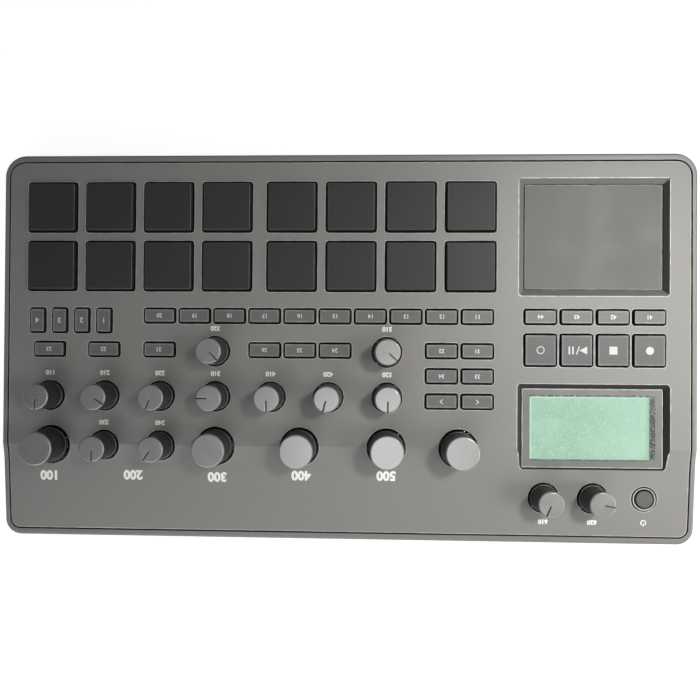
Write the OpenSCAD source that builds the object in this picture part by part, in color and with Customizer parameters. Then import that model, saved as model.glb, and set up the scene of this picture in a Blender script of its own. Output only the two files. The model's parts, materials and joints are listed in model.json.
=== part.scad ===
/* [Body] */
// Width of the case, side to side
body_w = 339; // [336:1:420]
// Depth of the case, front to rear
body_d = 189; // [187:1:240]
// Height from the table to the highest dial
body_h = 45; // [44:0.5:60]
// Rise of the main panel towards its ridge, in degrees
panel_tilt = 3.6; // [2:0.2:5]
// Distance of the ridge behind the middle of the case
ridge_v = 48.2; // [46:0.2:52]
// Length of the hollow ramp behind the ridge
ramp_len = 10; // [6:0.5:14]
// Slope of the ramp where it leaves the ridge, in degrees
ramp_angle = 9; // [4:0.5:12]
// Outer radius of the two front corners
front_corner_r = 10.5; // [8:0.5:16]
// Outer radius of the two rear corners
rear_corner_r = 7.7; // [6:0.1:12]

/* [Shells] */
// Thickness of the case walls
wall_t = 2.6; // [2:0.1:3.2]
// Thickness of the case floor
floor_t = 2.2; // [1.8:0.1:3]
// Thickness of the metal panel
panel_t = 2; // [1.5:0.1:2.6]
// Width of the rim beside the panel
side_rim = 2.6; // [2:0.1:4]
// Width of the rim in front of and behind the panel
end_rim = 3.2; // [2.4:0.1:5]
// Gap between the panel and the rim
panel_seam = 0.5; // [0.3:0.1:1]
// Rounding of the rim's outer edge
rim_round = 1.2; // [0.6:0.1:2]
// Height of the line where the two case halves meet
split_z = 13; // [11:0.5:15]
// Height of the painted rim above the rear wall
rear_rim_h = 5.5; // [4:0.5:8]
// How far the rear wall stands back under the rim
rear_wall_inset = 1.8; // [1:0.1:3]
// Bevel around the underside
bottom_bevel = 2; // [1:0.5:4]

/* [Pads] */
// Side of a pad's opening
pad_hole = 24.7; // [20:0.1:26]
// Distance between pads
pad_pitch = 29; // [28:0.1:34]
// Extra distance between the fourth and fifth pad
pad_mid_gap = 2.8; // [0:0.1:6]
// Height of a pad above the panel
pad_rise = 1.6; // [0.8:0.1:3]
// Travel of a pad
pad_travel = 0.8; // [0.4:0.1:1.2]

/* [Keys] */
// Width of a small key's opening
key_hole_w = 15.9; // [12:0.1:16.4]
// Depth of a small key's opening
key_hole_d = 7.6; // [6:0.1:9]
// Distance between keys in a row
key_pitch = 17.25; // [17:0.05:19]
// Depth of a transport key's opening
transport_hole_d = 15.9; // [12:0.1:17]
// Width of a number key's opening
number_hole_w = 8; // [6:0.1:9]
// Depth of a number key's opening
number_hole_d = 12.5; // [9:0.1:14]
// Height of a key above the panel
key_rise = 0.9; // [0.5:0.1:1.6]
// Travel of a key
key_travel = 0.6; // [0.3:0.1:0.9]
// Gap around a key or a pad in its opening
key_gap = 0.55; // [0.3:0.05:0.7]

/* [Knobs] */
// Radius of a small knob at its foot
knob_base_r = 6.75; // [5:0.05:7.5]
// Radius of a small knob at its top
knob_top_r = 6.1; // [4.5:0.1:6.4]
// Height of a small knob above the main panel
knob_h = 12.7; // [10:0.1:16]
// Radius of a large dial at its foot
dial_base_r = 8.4; // [7:0.1:9]
// Radius of a large dial at its top
dial_top_r = 7.95; // [6:0.05:8.4]
// Height of a large dial above the main panel
dial_h = 13.7; // [11:0.1:17]
// Radius of a control shaft
shaft_r = 3; // [2:0.1:3.5]
// Gap between a knob and the edge of its opening
knob_gap = 0.55; // [0.3:0.05:1]
// Thickness of the clear ring around a dial
ring_t = 0.7; // [0.5:0.1:1.2]

/* [Display and touch pad] */
// Width of the display window
window_w = 67.7; // [60:0.1:70]
// Depth of the display window
window_d = 38.5; // [34:0.1:40]
// Drop of the display window below the panel
window_drop = 1.7; // [1:0.1:2]
// Width of the touch plate
touch_w = 66.1; // [60:0.1:70]
// Depth of the touch plate
touch_d = 50.9; // [44:0.1:54]
// Drop of the touch plate below the panel
touch_drop = 1.4; // [0.8:0.1:1.6]
// Width of the sloped edge around the touch plate
touch_bevel = 2.6; // [1.5:0.1:3]
// Width of the sloped edge around the display
window_bevel = 1.9; // [1:0.1:2.5]

/* [Inside] */
// Depth of the panel board below the panel's face
board_drop = 7.8; // [7.4:0.1:8]
// Thickness of the circuit boards
board_t = 1.6; // [1.2:0.1:2]
// Diameter of a battery cell
cell_d = 14.5; // [14.5:0.1:14.6]
// Length of a battery cell
cell_l = 50.5; // [50:0.1:51]
// Height of the rubber feet below the case
foot_h = 2; // [2:0.1:3]
// Radius of the rubber feet
foot_r = 8; // [6:0.5:10]

/* [Sockets] */
// Radius of a large phone socket's bore
big_jack_r = 3.2; // [3.18:0.01:3.3]
// Radius of a small phone socket's bore
small_jack_r = 1.8; // [1.76:0.01:1.9]
// Radius of the power socket's bore
dc_jack_r = 2.8; // [2.6:0.05:3]

/* [Hidden] */
$fn = 64;
seat = 0.1;
run_gap = 0.08;
plate_gap = 0.35;
case_gap = 0.3;
press_room = 0.15;
arc_steps = 8;
ramp_steps = 6;
eps = 0.5;

// Places on the panel: x runs to the player's right, v up the panel from its middle.
pad_x0 = 144.7;
pad_v0 = -68.8;
row_x0 = 90.75;
row_v = -15.4;
effect_v = 1.3;
menu_x0 = -47.3;
menu_rows = [1.2, 13.4, 25.65];
transport_x0 = -94.65;
transport_v = 0.45;
touch_keys_v = -15.55;
number_x0 = 118.5;
number_pitch = 11.1;
number_v = -12.9;
effect_x = [145.7, 118.4, 90.8];
filter_x = [38.8, 21.6, 4.4];
knob_row_v = 24.1;
dial_row_v = 48.5;
rear_row_v = 72.1;
upper_row_v = 1.95;
window_x = -120.2;
window_v = 38.15;
touch_x = -120.3;
touch_v = -54.4;

// Each knob: name, x, v and the clockwise turn of its pointer from straight up.
KNOBS = [
    ["ifx_edit", 145.5, knob_row_v, 5],
    ["decay", 118, knob_row_v, -58],
    ["attack", 90.5, knob_row_v, 25],
    ["depth", 63, knob_row_v, 90],
    ["eg_int", 35.8, knob_row_v, 0],
    ["resonance", 7.6, knob_row_v, 17],
    ["pitch", -21, knob_row_v, 0],
    ["pan", 118.3, dial_row_v, 0],
    ["level", 90.3, dial_row_v, 35],
    ["speed", 63.3, upper_row_v, -45],
    ["oscillator_edit", -20.9, upper_row_v, -47],
    ["input_level", -97.2, rear_row_v, 23],
    ["volume", -120.7, rear_row_v, -80],
];
DIALS = [
    ["insert", 144.9, dial_row_v],
    ["modulation", 62.9, dial_row_v],
    ["filter", 21.6, dial_row_v],
    ["oscillator", -20.8, dial_row_v],
    ["main", -55.7, dial_row_v],
];
TRANSPORT = ["tap", "play", "stop", "record"];
power_x = -145.3;
power_hole_r = 5.95;
power_ring_t = 0.95;
power_key_r = 4.4;
power_ring_r = power_hole_r - 0.1;

// Heights in the panel's own frame, counted up from the panel's face.
ring_h = 0.6;
carrier_top = -(panel_t + key_gap);
carrier_t = 1;
carrier_low = carrier_top - carrier_t;
board_top = -board_drop;
board_low = board_top - board_t;
switch_body_h = 2.6;
switch_top = board_top + switch_body_h + 0.5;
knob_sink = 1.2;
knob_chamfer = 0.5;
skirt_h = 1.1;
skirt_w = 0.4;
pointer_w = 0.7;
pointer_depth = 0.5;
bore_top = 9;
control_top = board_top + 3;
bush_top = control_top + 0.4;
bush_r = shaft_r + 1;
knob_hole_r = knob_base_r + knob_gap;
ring_r = dial_base_r + 0.2 + ring_t;
dial_hole_r = ring_r + seat;
hook_w = 1.2;

// Case heights, worked out from the highest dial.
dial_edge_v = dial_row_v + dial_top_r - knob_chamfer;
panel_z = body_h - dial_edge_v * sin(panel_tilt) - dial_h * cos(panel_tilt);
ridge_y = ridge_v * cos(panel_tilt);
ridge_z = panel_z + ridge_v * sin(panel_tilt);
ramp_r = ramp_len / sin(ramp_angle);
strip_z = ridge_z - ramp_r * (1 - cos(ramp_angle));
front_y = -body_d / 2;
rear_y = body_d / 2;
rear_wall_top = strip_z - rear_rim_h;
rear_wall_x = body_w / 2 - rear_corner_r - 2;
floor_z = foot_h;
floor_top = floor_z + floor_t;

// Battery bay: three rows of two cells, with room for the contacts at both ends.
cell_room = 0.5;
contact_room = 4.5;
bay_w = 2 * cell_l + 2 * contact_room;
bay_d = 3 * (cell_d + cell_room);
bay_wall = 1.5;
bay_roof_t = 0.9;
bay_y0 = 22;
door_t = 1.5;
door_gap = 0.25;
door_seat_z = floor_z + door_t + seat;
bay_roof_z = floor_z + door_t + 2 * seat + cell_d;
bay_top = bay_roof_z + bay_roof_t;
bay_cy = bay_y0 + bay_d / 2;
door_w = bay_w + 2 * bay_wall - 2 * door_gap;
door_d = bay_d + 2 * bay_wall - 2 * door_gap;
tab_x = [-40, 0, 40];
tab_w = 12;
tab_l = 2.4;
tab_t = 1.2;
latch_w = 16;
latch_h = 6;

// Sockets along the rear wall: x and kind, seen from above.
BIG_JACKS = [["phones", 140], ["output_left", 114], ["output_right", 88]];
SMALL_JACKS = [["audio_in", 64], ["sync_out", 46], ["sync_in", 32], ["midi_out", 12], ["midi_in", -2]];
card_x = -73;
usb_x = -108;
dc_x = -140;
main_board_z = 8.6;
main_board_top = main_board_z + board_t;
phone_jack_z = main_board_top + 6.4;
dc_jack_z = main_board_top + 5.6;
rear_face_y = rear_y - rear_wall_inset;
jack_collar = 1.2;
big_collar_r = big_jack_r + 2.3;
small_collar_r = small_jack_r + 1.3;
dc_collar_r = dc_jack_r + 1.6;
card_w = 24.6;
card_slot_h = 2.6;
usb_w = 7.6;
usb_h = 2.8;

// Screws: places under the case.
screw_in = 6.6;
screw_x = body_w / 2 - screw_in;
screw_y = body_d / 2 - screw_in;
SCREWS = [
    [-screw_x, -55], [-screw_x, 20], [screw_x, -55], [screw_x, 20],
    [-60, -screw_y], [60, -screw_y], [-screw_x, 74], [screw_x, 74],
];
screw_r = 1.5;
screw_head_r = 2.8;
screw_head_h = 1.8;
lug_r = 4.2;
boss_r = 3.6;
lug_top = split_z + 5;
foot_x = body_w / 2 - 20;
foot_y = body_d / 2 - 20;
foot_recess = 0.8;

// Posts between the panel and its board.
POSTS = [
    [131.7, 36], [76.7, 36], [49.4, 36], [-38, 36], [-79.5, 40], [-79.5, 0], [-79.5, -54.3], [41.9, -54.3],
];
post_r = 2.4;
post_screw_r = 1.1;
post_head_r = 2.2;
board_x = body_w / 2 - side_rim - panel_seam - 9.4;
board_v0 = -83;
board_v1 = 60;
board_tab_x1 = -86;
board_tab_v1 = 80;

PAD_NAMES = [for (i = [1 : 16]) str("pad_", i < 10 ? "0" : "", i)];
KNOB_NAMES = [for (k = KNOBS) str(k[0], "_knob")];
DIAL_NAMES = [for (k = DIALS) str(k[0], "_dial")];
KEY_NAMES = [for (k = TRANSPORT) str(k, "_key")];

// --- Frames and outlines -------------------------------------------------------------------

// Places children in the panel's own frame: z counts up from the panel's face.
module on_panel() {
    translate([0, 0, panel_z]) rotate([panel_tilt, 0, 0]) children();
}

// Height of the top surface at a depth y.
function ramp_theta(y) = asin(sin(ramp_angle) - (y - ridge_y) / ramp_r);
function top_z(y) =
    y <= ridge_y ? panel_z + y * tan(panel_tilt)
    : y >= ridge_y + ramp_len ? strip_z
    : ridge_z - ramp_r * (cos(ramp_theta(y)) - cos(ramp_angle));
ramp_ys = [for (i = [0 : ramp_steps]) ridge_y + ramp_len * i / ramp_steps];

// Height of the panel's face in the panel's frame, at a place v.
function face_h(v) = (top_z(v * cos(panel_tilt)) - panel_z - v * sin(panel_tilt)) / cos(panel_tilt);

function arc(cx, cy, r, a0, a1) =
    [for (i = [0 : arc_steps]) let (a = a0 + (a1 - a0) * i / arc_steps) [cx + r * cos(a), cy + r * sin(a)]];

// Right half of the case's outline, from the front to the rear, taken in by an inset.
function half_outline(side, front, rear) =
    let (
        hw = body_w / 2 - side,
        y0 = front_y + front,
        y1 = rear_y - rear,
        rf = max(front_corner_r - (side + front) / 2, 0.5),
        rr = max(rear_corner_r - (side + rear) / 2, 0.5)
    )
    concat(
        arc(hw - rf, y0 + rf, rf, -90, 0),
        [for (y = ramp_ys) [hw, y]],
        arc(hw - rr, y1 - rr, rr, 0, 90)
    );
function mirrored(points) = [for (i = [len(points) - 1 : -1 : 0]) [-points[i][0], points[i][1]]];
function outline(side, front, rear) =
    let (half = half_outline(side, front, rear)) concat(half, mirrored(half));

function small_arc(cx, cy, r, a0) =
    [for (i = [0 : 4]) let (a = a0 + 22.5 * i) [cx + r * cos(a), cy + r * sin(a)]];
function small_rect(w, d, r) =
    concat(
        small_arc(w / 2 - r, -d / 2 + r, r, -90),
        small_arc(w / 2 - r, d / 2 - r, r, 0),
        small_arc(-w / 2 + r, d / 2 - r, r, 90),
        small_arc(-w / 2 + r, -d / 2 + r, r, 180)
    );

// Upright prism between two heights.
module prism(points, low, high) {
    translate([0, 0, low]) linear_extrude(high - low) polygon(points);
}

// Everything under the top surface once it is lowered, down to a second lowering.
module under_top(from_drop, to_drop) {
    ys = concat([front_y - 5], ramp_ys, [rear_y + 5]);
    upper = [for (y = ys) [y, top_z(y) - from_drop]];
    lower = [for (i = [len(ys) - 1 : -1 : 0]) [ys[i], top_z(ys[i]) - to_drop]];
    translate([-body_w, 0, 0])
        rotate([90, 0, 90])
            linear_extrude(2 * body_w) polygon(concat(upper, lower));
}

// A closed skin through rings of equal length, with quads between them and level strips as ends.
module loft(rings) {
    n = len(rings[0]);
    m = len(rings);
    half = n / 2;
    points = [for (ring = rings) each ring];
    sides = [
        for (k = [0 : m - 2], i = [0 : n - 1])
            [k * n + i, (k + 1) * n + i, (k + 1) * n + (i + 1) % n, k * n + (i + 1) % n]
    ];
    bottom = [for (i = [0 : half - 2]) [i, i + 1, n - 2 - i, n - 1 - i]];
    top_0 = (m - 1) * n;
    top = [for (i = [0 : half - 2]) [top_0 + i, top_0 + n - 1 - i, top_0 + n - 2 - i, top_0 + i + 1]];
    polyhedron(points, concat(bottom, sides, top), convexity = 6);
}
function level_ring(inset, z) = [for (p = outline(inset, inset, inset)) [p[0], p[1], z]];
function top_ring(inset, drop) = [for (p = outline(inset, inset, inset)) [p[0], p[1], top_z(p[1]) - drop]];

// A block with rounded corners and a bevel around its upper edge.
module bevelled_block(w, d, r, low, high, bevel) {
    function side(s) = [
        [-s, low], [s, low], [s, high - bevel], [s - bevel, high], [-s + bevel, high], [-s, high - bevel],
    ];
    intersection() {
        prism(small_rect(w, d, r), low, high);
        translate([0, d, 0]) rotate([90, 0, 0]) linear_extrude(2 * d) polygon(side(w / 2));
        translate([-w, 0, 0]) rotate([90, 0, 90]) linear_extrude(2 * w) polygon(side(d / 2));
    }
}

// --- Places --------------------------------------------------------------------------------

// Pads count from the player's left, the front row last.
function pad_x(col) = -pad_x0 + pad_x_shift + pad_pitch * col + (col > 3 ? pad_mid_gap : 0);
pad_x_shift = 2 * pad_x0 - 7 * pad_pitch - pad_mid_gap;
function pad_place(i) = [pad_x(i % 8), pad_v0 + (i < 8 ? pad_pitch : 0)];
step_xs = [for (i = [0 : 9]) row_x0 - key_pitch * i];
menu_xs = [menu_x0, menu_x0 - key_pitch];
transport_xs = [for (i = [0 : 3]) transport_x0 - key_pitch * i];
number_xs = [for (i = [0 : 3]) number_x0 + number_pitch * i];

step_places = [for (x = step_xs) [x, row_v]];
number_places = [for (x = number_xs) [x, number_v]];
effect_places = [for (x = effect_x) [x, effect_v]];
filter_places = [for (x = filter_x) [x, effect_v]];
menu_places = [for (v = menu_rows, x = menu_xs) [x, v]];
touch_places = [for (x = transport_xs) [x, touch_keys_v]];
small_key_places = concat(step_places, effect_places, filter_places, menu_places, touch_places);

// --- Keys and pads -------------------------------------------------------------------------

module key_opening(w, d) {
    prism(small_rect(w, d, 1.3), -panel_t - 3, 2);
}

// One key top with its plunger, standing on its carrier.
module key_top(hole_w, hole_d) {
    bevelled_block(hole_w - 2 * key_gap, hole_d - 2 * key_gap, 1, carrier_top - eps, key_rise, 0.35);
    translate([0, 0, switch_top + key_travel + press_room])
        cylinder(r = 1.5, h = carrier_low + eps - (switch_top + key_travel + press_room));
}

// A row or block of key tops moulded on one carrier.
module key_strip(places, hole_w, hole_d) {
    xs = [for (p = places) p[0]];
    vs = [for (p = places) p[1]];
    carrier_w = max(xs) - min(xs) + hole_w;
    carrier_d = max(vs) - min(vs) + hole_d + hook_w;
    on_panel() {
        for (p = places) translate([p[0], p[1], 0]) key_top(hole_w, hole_d);
        translate([(max(xs) + min(xs)) / 2, (max(vs) + min(vs)) / 2, 0])
            prism(small_rect(carrier_w, carrier_d, 1), carrier_low, carrier_top);
    }
}

module step_keys() {
    color("dimgray") key_strip(step_places, key_hole_w, key_hole_d);
}
module number_keys() {
    color("dimgray") key_strip(number_places, number_hole_w, number_hole_d);
}
module effect_keys() {
    color("dimgray") key_strip(effect_places, key_hole_w, key_hole_d);
}
module filter_keys() {
    color("dimgray") key_strip(filter_places, key_hole_w, key_hole_d);
}
module menu_keys() {
    color("dimgray") key_strip(menu_places, key_hole_w, key_hole_d);
}
module touch_keys() {
    color("dimgray") key_strip(touch_places, key_hole_w, key_hole_d);
}
module transport_key(i) {
    color("dimgray") key_strip([[transport_xs[i], transport_v]], key_hole_w, transport_hole_d);
}

module pad(i) {
    side = pad_hole - 2 * key_gap;
    place = pad_place(i);
    color([0.16, 0.16, 0.17])
        on_panel()
            translate([place[0], place[1], 0]) {
                bevelled_block(side, side, 1.5, carrier_top - eps, pad_rise, 0.6);
                prism(small_rect(pad_hole + hook_w, pad_hole + hook_w, 1.5), carrier_low, carrier_top);
            }
}

module power_key() {
    face = face_h(rear_row_v);
    low = switch_top + key_travel + press_room;
    bevel = 0.4;
    color("gray")
        on_panel()
            translate([power_x, rear_row_v, 0])
                rotate_extrude()
                    polygon([
                        [0, low], [power_key_r, low], [power_key_r, face],
                        [power_key_r - bevel, face + bevel], [0, face + bevel],
                    ]);
}

// --- Knobs and dials -----------------------------------------------------------------------

module d_section(r) {
    intersection() {
        circle(r);
        translate([-2 * r, -2 * r]) square([4 * r, 2.5 * r]);
    }
}

// A turned cap with a low skirt, whose foot stands a little inside the panel's opening.
module control_cap(base_r, top_r, height) {
    difference() {
        rotate_extrude()
            polygon([
                [0, -knob_sink], [base_r, -knob_sink], [base_r, skirt_h - skirt_w / 2],
                [base_r - skirt_w / 2, skirt_h], [base_r - skirt_w, skirt_h],
                [top_r, height - knob_chamfer], [top_r - knob_chamfer, height], [0, height],
            ]);
        translate([0, 0, -knob_sink - 1])
            linear_extrude(bore_top + knob_sink + 1) d_section(shaft_r + run_gap);
    }
}
// The control's own shaft, from inside the cap down to the board; face is the panel's height there.
module control_shaft(face) {
    low = board_top + seat - face;
    translate([0, 0, low]) linear_extrude(bore_top - 0.2 - low) d_section(shaft_r);
}

module small_knob(i) {
    k = KNOBS[i];
    face = k[2] > ridge_v + 2 ? face_h(k[2]) : 0;
    color("gray")
        on_panel()
            translate([k[1], k[2], face])
                rotate([0, 0, -k[3]]) {
                    difference() {
                        control_cap(knob_base_r, knob_top_r, knob_h);
                        translate([-pointer_w / 2, 0.8, knob_h - pointer_depth])
                            cube([pointer_w, knob_base_r, 2]);
                    }
                    control_shaft(face);
                }
}
module large_dial(i) {
    k = DIALS[i];
    color("silver")
        on_panel()
            translate([k[1], k[2], 0]) {
                control_cap(dial_base_r, dial_top_r, dial_h);
                control_shaft(0);
            }
}

// Clear rings around the dials and the plain ring around the power key.
module ring(inner, outer, low, high, flange, flange_t) {
    bevel = 0.3;
    rotate_extrude()
        polygon([
            [inner, low], [outer + flange, low], [outer + flange, low + flange_t], [outer, low + flange_t],
            [outer, high - bevel], [outer - bevel, high], [inner, high],
        ]);
}
module bezel_rings() {
    flange = 1;
    flange_t = 0.8;
    low = face_h(dial_row_v + ring_r + flange) - panel_t - seat - flange_t;
    power_low = face_h(rear_row_v + power_hole_r + flange) - panel_t - seat - flange_t;
    color("lightgray")
        on_panel() {
            for (k = DIALS)
                translate([k[1], k[2], 0]) ring(ring_r - ring_t, ring_r, low, ring_h, flange, flange_t);
            translate([power_x, rear_row_v, 0])
                ring(power_ring_r - power_ring_t, power_ring_r, power_low, face_h(rear_row_v) + 0.15,
                    flange, flange_t);
        }
}

// Bodies of the turned controls, on the panel board.
module control_body(w, d) {
    difference() {
        union() {
            translate([-w / 2, -d / 2, board_top]) cube([w, d, control_top - board_top]);
            translate([0, 0, control_top - eps]) cylinder(r = bush_r, h = bush_top - control_top + eps);
        }
        translate([0, 0, board_top - 1]) cylinder(r = shaft_r + run_gap, h = bush_top - board_top + 2);
    }
}
module control_bodies() {
    color("darkseagreen")
        on_panel() {
            for (k = KNOBS) translate([k[1], k[2], 0]) control_body(9.8, 11);
            for (k = DIALS) translate([k[1], k[2], 0]) control_body(11.6, 12);
        }
}

// --- Panel ---------------------------------------------------------------------------------

// An opening with sloped edges around a plate that lies lower than the panel.
module sloped_opening(w, d, drop, bevel) {
    rise = 1;
    spread = bevel * (1 + rise / drop);
    hull() {
        prism(small_rect(w, d, 0.8), -drop - 0.02, -drop);
        prism(small_rect(w + 2 * spread, d + 2 * spread, 1.4), rise - 0.02, rise);
    }
    prism(small_rect(w, d, 0.8), -panel_t - 4, -drop + 0.001);
}

module panel_cuts() {
    for (i = [0 : 15]) translate([pad_place(i)[0], pad_place(i)[1], 0]) key_opening(pad_hole, pad_hole);
    for (p = small_key_places) translate([p[0], p[1], 0]) key_opening(key_hole_w, key_hole_d);
    for (p = number_places) translate([p[0], p[1], 0]) key_opening(number_hole_w, number_hole_d);
    for (x = transport_xs) translate([x, transport_v, 0]) key_opening(key_hole_w, transport_hole_d);
    for (k = KNOBS) translate([k[1], k[2], -8]) cylinder(r = knob_hole_r, h = 12);
    for (k = DIALS) translate([k[1], k[2], -8]) cylinder(r = dial_hole_r, h = 12);
    translate([power_x, rear_row_v, -8]) cylinder(r = power_hole_r, h = 12);
    translate([touch_x, touch_v, 0])
        sloped_opening(touch_w + 2 * plate_gap, touch_d + 2 * plate_gap, touch_drop, touch_bevel);
    translate([window_x, window_v, 0])
        sloped_opening(window_w + 2 * plate_gap, window_d + 2 * plate_gap, window_drop, window_bevel);
}

module top_panel() {
    side = side_rim + panel_seam;
    ends = end_rim + panel_seam;
    color([0.5, 0.5, 0.48]) {
        difference() {
            intersection() {
                under_top(0, panel_t);
                prism(outline(side, ends, ends), 0, 2 * body_h);
            }
            on_panel() panel_cuts();
        }
        on_panel()
            for (p = POSTS)
                translate([p[0], p[1], 0])
                    difference() {
                        translate([0, 0, board_top]) cylinder(r = post_r, h = -panel_t / 2 - board_top);
                        translate([0, 0, board_top - 1])
                            cylinder(r = post_screw_r + run_gap, h = -panel_t - 1 - board_top);
                    }
    }
}

// --- Case halves ---------------------------------------------------------------------------

module screw_lugs() {
    for (p = SCREWS)
        translate([p[0], p[1], split_z + case_gap]) cylinder(r = lug_r, h = lug_top - split_z - case_gap);
}

module upper_case() {
    ledge_w = 2.4;
    ledge_t = 1.6;
    side = side_rim + panel_seam;
    ends = end_rim + panel_seam;
    color([0.5, 0.5, 0.48])
        difference() {
            union() {
                difference() {
                    loft(concat(
                        [level_ring(0, split_z + case_gap)],
                        [for (a = [0 : 22.5 : 90])
                            top_ring(rim_round * (1 - cos(a)), rim_round * (1 - sin(a)))]
                    ));
                    prism(outline(side_rim, end_rim, end_rim), 0, 2 * body_h);
                }
                intersection() {
                    under_top(panel_t + seat, panel_t + seat + ledge_t);
                    difference() {
                        prism(outline(side_rim - 0.2, end_rim - 0.2, end_rim - 0.2), 0, 2 * body_h);
                        prism(outline(side + ledge_w, ends + ledge_w, ends + ledge_w), -1, 2 * body_h + 1);
                    }
                }
                intersection() {
                    screw_lugs();
                    prism(outline(side_rim / 2, end_rim / 2, end_rim / 2), 0, 2 * body_h);
                }
            }
            for (p = SCREWS)
                translate([p[0], p[1], 0]) cylinder(r = screw_r + run_gap, h = lug_top - 1);
            translate([-rear_wall_x - case_gap, rear_y - end_rim - 4, 0])
                cube([2 * (rear_wall_x + case_gap), end_rim + 10, rear_wall_top + case_gap]);
        }
}

module socket_holes() {
    hole_l = wall_t + 6;
    for (j = BIG_JACKS)
        translate([j[1], rear_face_y + 3, phone_jack_z])
            rotate([90, 0, 0]) cylinder(r = big_collar_r + seat, h = hole_l);
    for (j = SMALL_JACKS)
        translate([j[1], rear_face_y + 3, phone_jack_z])
            rotate([90, 0, 0]) cylinder(r = small_collar_r + seat, h = hole_l);
    translate([dc_x, rear_face_y + 3, dc_jack_z])
        rotate([90, 0, 0]) cylinder(r = dc_collar_r + seat, h = hole_l);
    translate([card_x - card_w / 2 - 0.3, rear_face_y - hole_l + 3, main_board_top + seat])
        cube([card_w + 0.6, hole_l, card_slot_h + 0.8]);
    translate([usb_x - usb_w / 2 - 0.4, rear_face_y - hole_l + 3, main_board_top + seat])
        cube([usb_w + 0.8, hole_l, usb_h + 0.8]);
}

BOARD_POSTS = [[-150, 0], [-70, -50], [-150, 82], [-64, 82], [20, 76], [76, 66], [152, 66], [-150, -50]];
module main_board_posts() {
    for (p = BOARD_POSTS)
        translate([p[0], p[1], floor_top - eps]) cylinder(r = 3, h = main_board_z - floor_top + eps);
}

module door_recess() {
    w = door_w + 2 * door_gap;
    d = door_d + 2 * door_gap;
    translate([-w / 2, bay_cy - d / 2, 0]) cube([w, d, door_seat_z]);
}
module bay_block(grow, low, high) {
    translate([-bay_w / 2 - grow, bay_y0 - grow, low]) cube([bay_w + 2 * grow, bay_d + 2 * grow, high - low]);
}

module bottom_case() {
    lip_t = 1.1;
    lip_h = 2;
    color([0.13, 0.13, 0.14])
        difference() {
            union() {
                difference() {
                    loft([
                        level_ring(bottom_bevel, floor_z), level_ring(0, floor_z + bottom_bevel),
                        level_ring(0, split_z),
                    ]);
                    prism(outline(wall_t, wall_t, wall_t + rear_wall_inset), floor_top, body_h);
                }
                difference() {
                    prism(outline(side_rim + seat, end_rim + seat, end_rim + seat),
                        split_z - 3, split_z + lip_h);
                    prism(outline(side_rim + seat + lip_t, end_rim + seat + lip_t, end_rim + seat + lip_t),
                        0, body_h);
                    screw_lug_room();
                    translate([-body_w, rear_y - end_rim - 8, split_z]) cube([2 * body_w, 20, lip_h + 1]);
                }
                translate([-rear_wall_x, rear_face_y - wall_t, split_z - 3])
                    cube([2 * rear_wall_x, wall_t, rear_wall_top - split_z + 3]);
                for (p = SCREWS) translate([p[0], p[1], floor_top - eps])
                    cylinder(r = boss_r, h = split_z - floor_top + eps);
                main_board_posts();
                bay_block(bay_wall, door_seat_z, bay_top);
                bay_block(bay_wall + 2, floor_top - eps, floor_top + 1.2);
            }
            bay_block(0, 0, bay_roof_z);
            door_recess();
            tab_windows();
            latch_slot();
            for (p = SCREWS) translate([p[0], p[1], 0]) {
                cylinder(r = screw_r + 0.2, h = split_z + 1);
                cylinder(r = screw_head_r + 0.3, h = floor_z + screw_head_h + 0.4);
            }
            for (x = [-foot_x, foot_x], y = [-foot_y, foot_y])
                translate([x, y, 0]) cylinder(r = foot_r + seat, h = floor_z + foot_recess);
            socket_holes();
        }
}

// Room in the lip for the lugs of the upper half.
module screw_lug_room() {
    for (p = SCREWS) translate([p[0], p[1], split_z]) cylinder(r = lug_r + 0.4, h = 10);
}

// --- Battery door --------------------------------------------------------------------------

door_y0 = bay_cy - door_d / 2;
door_y1 = bay_cy + door_d / 2;
hinge_y = door_y0 - door_gap;

module tab_windows() {
    swing = tab_l + door_t + tab_t + 1.2;
    for (x = tab_x)
        translate([x - tab_w / 2 - 0.4, hinge_y - tab_l - 0.4, door_seat_z - seat])
            cube([tab_w + 0.8, swing + 1, swing]);
}
module latch_slot() {
    translate([-latch_w / 2 - 0.5, door_y1 - 3, floor_z - 1])
        cube([latch_w + 1, 4.6, latch_h + door_t + 2.5]);
}
module battery_door() {
    grip_w = 10;
    color([0.13, 0.13, 0.14])
        difference() {
            union() {
                translate([-door_w / 2, door_y0, floor_z]) cube([door_w, door_d, door_t]);
                for (x = tab_x)
                    translate([x - tab_w / 2, hinge_y - tab_l, floor_z + door_t])
                        cube([tab_w, tab_l + 3, tab_t]);
                translate([-latch_w / 2, door_y1 - 1.2, floor_z + door_t - eps])
                    cube([latch_w, 1.2, latch_h + eps]);
                translate([-latch_w / 2, door_y1 - 1.2, floor_z + door_t + 1])
                    cube([latch_w, 1.7, 0.8]);
            }
            for (i = [0 : 3])
                translate([-grip_w / 2, door_y1 - 4 - 1.6 * i, floor_z - 1]) cube([grip_w, 0.8, 1.5]);
        }
}

module battery_contacts() {
    plate_t = 0.5;
    plate_s = 9;
    color("silver")
        for (side = [-1, 1], row = [0 : 2])
            translate([side * (bay_w / 2 - seat), bay_y0 + bay_d * (row + 0.5) / 3, door_seat_z + 8])
                rotate([0, -90 * side, 0]) {
                    translate([-plate_s / 2, -plate_s / 2, 0]) cube([plate_s, plate_s, plate_t]);
                    if ((row + (side + 1) / 2) % 2 == 0)
                        cylinder(r = 2.5, h = 1.6);
                    else
                        for (turn = [0 : 2])
                            translate([0, 0, plate_t / 2 + turn * 1.1])
                                cylinder(r = 3.6 - turn * 0.6, h = 0.8 + 0.3);
                }
}

// --- Display, touch plate and boards -------------------------------------------------------

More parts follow.
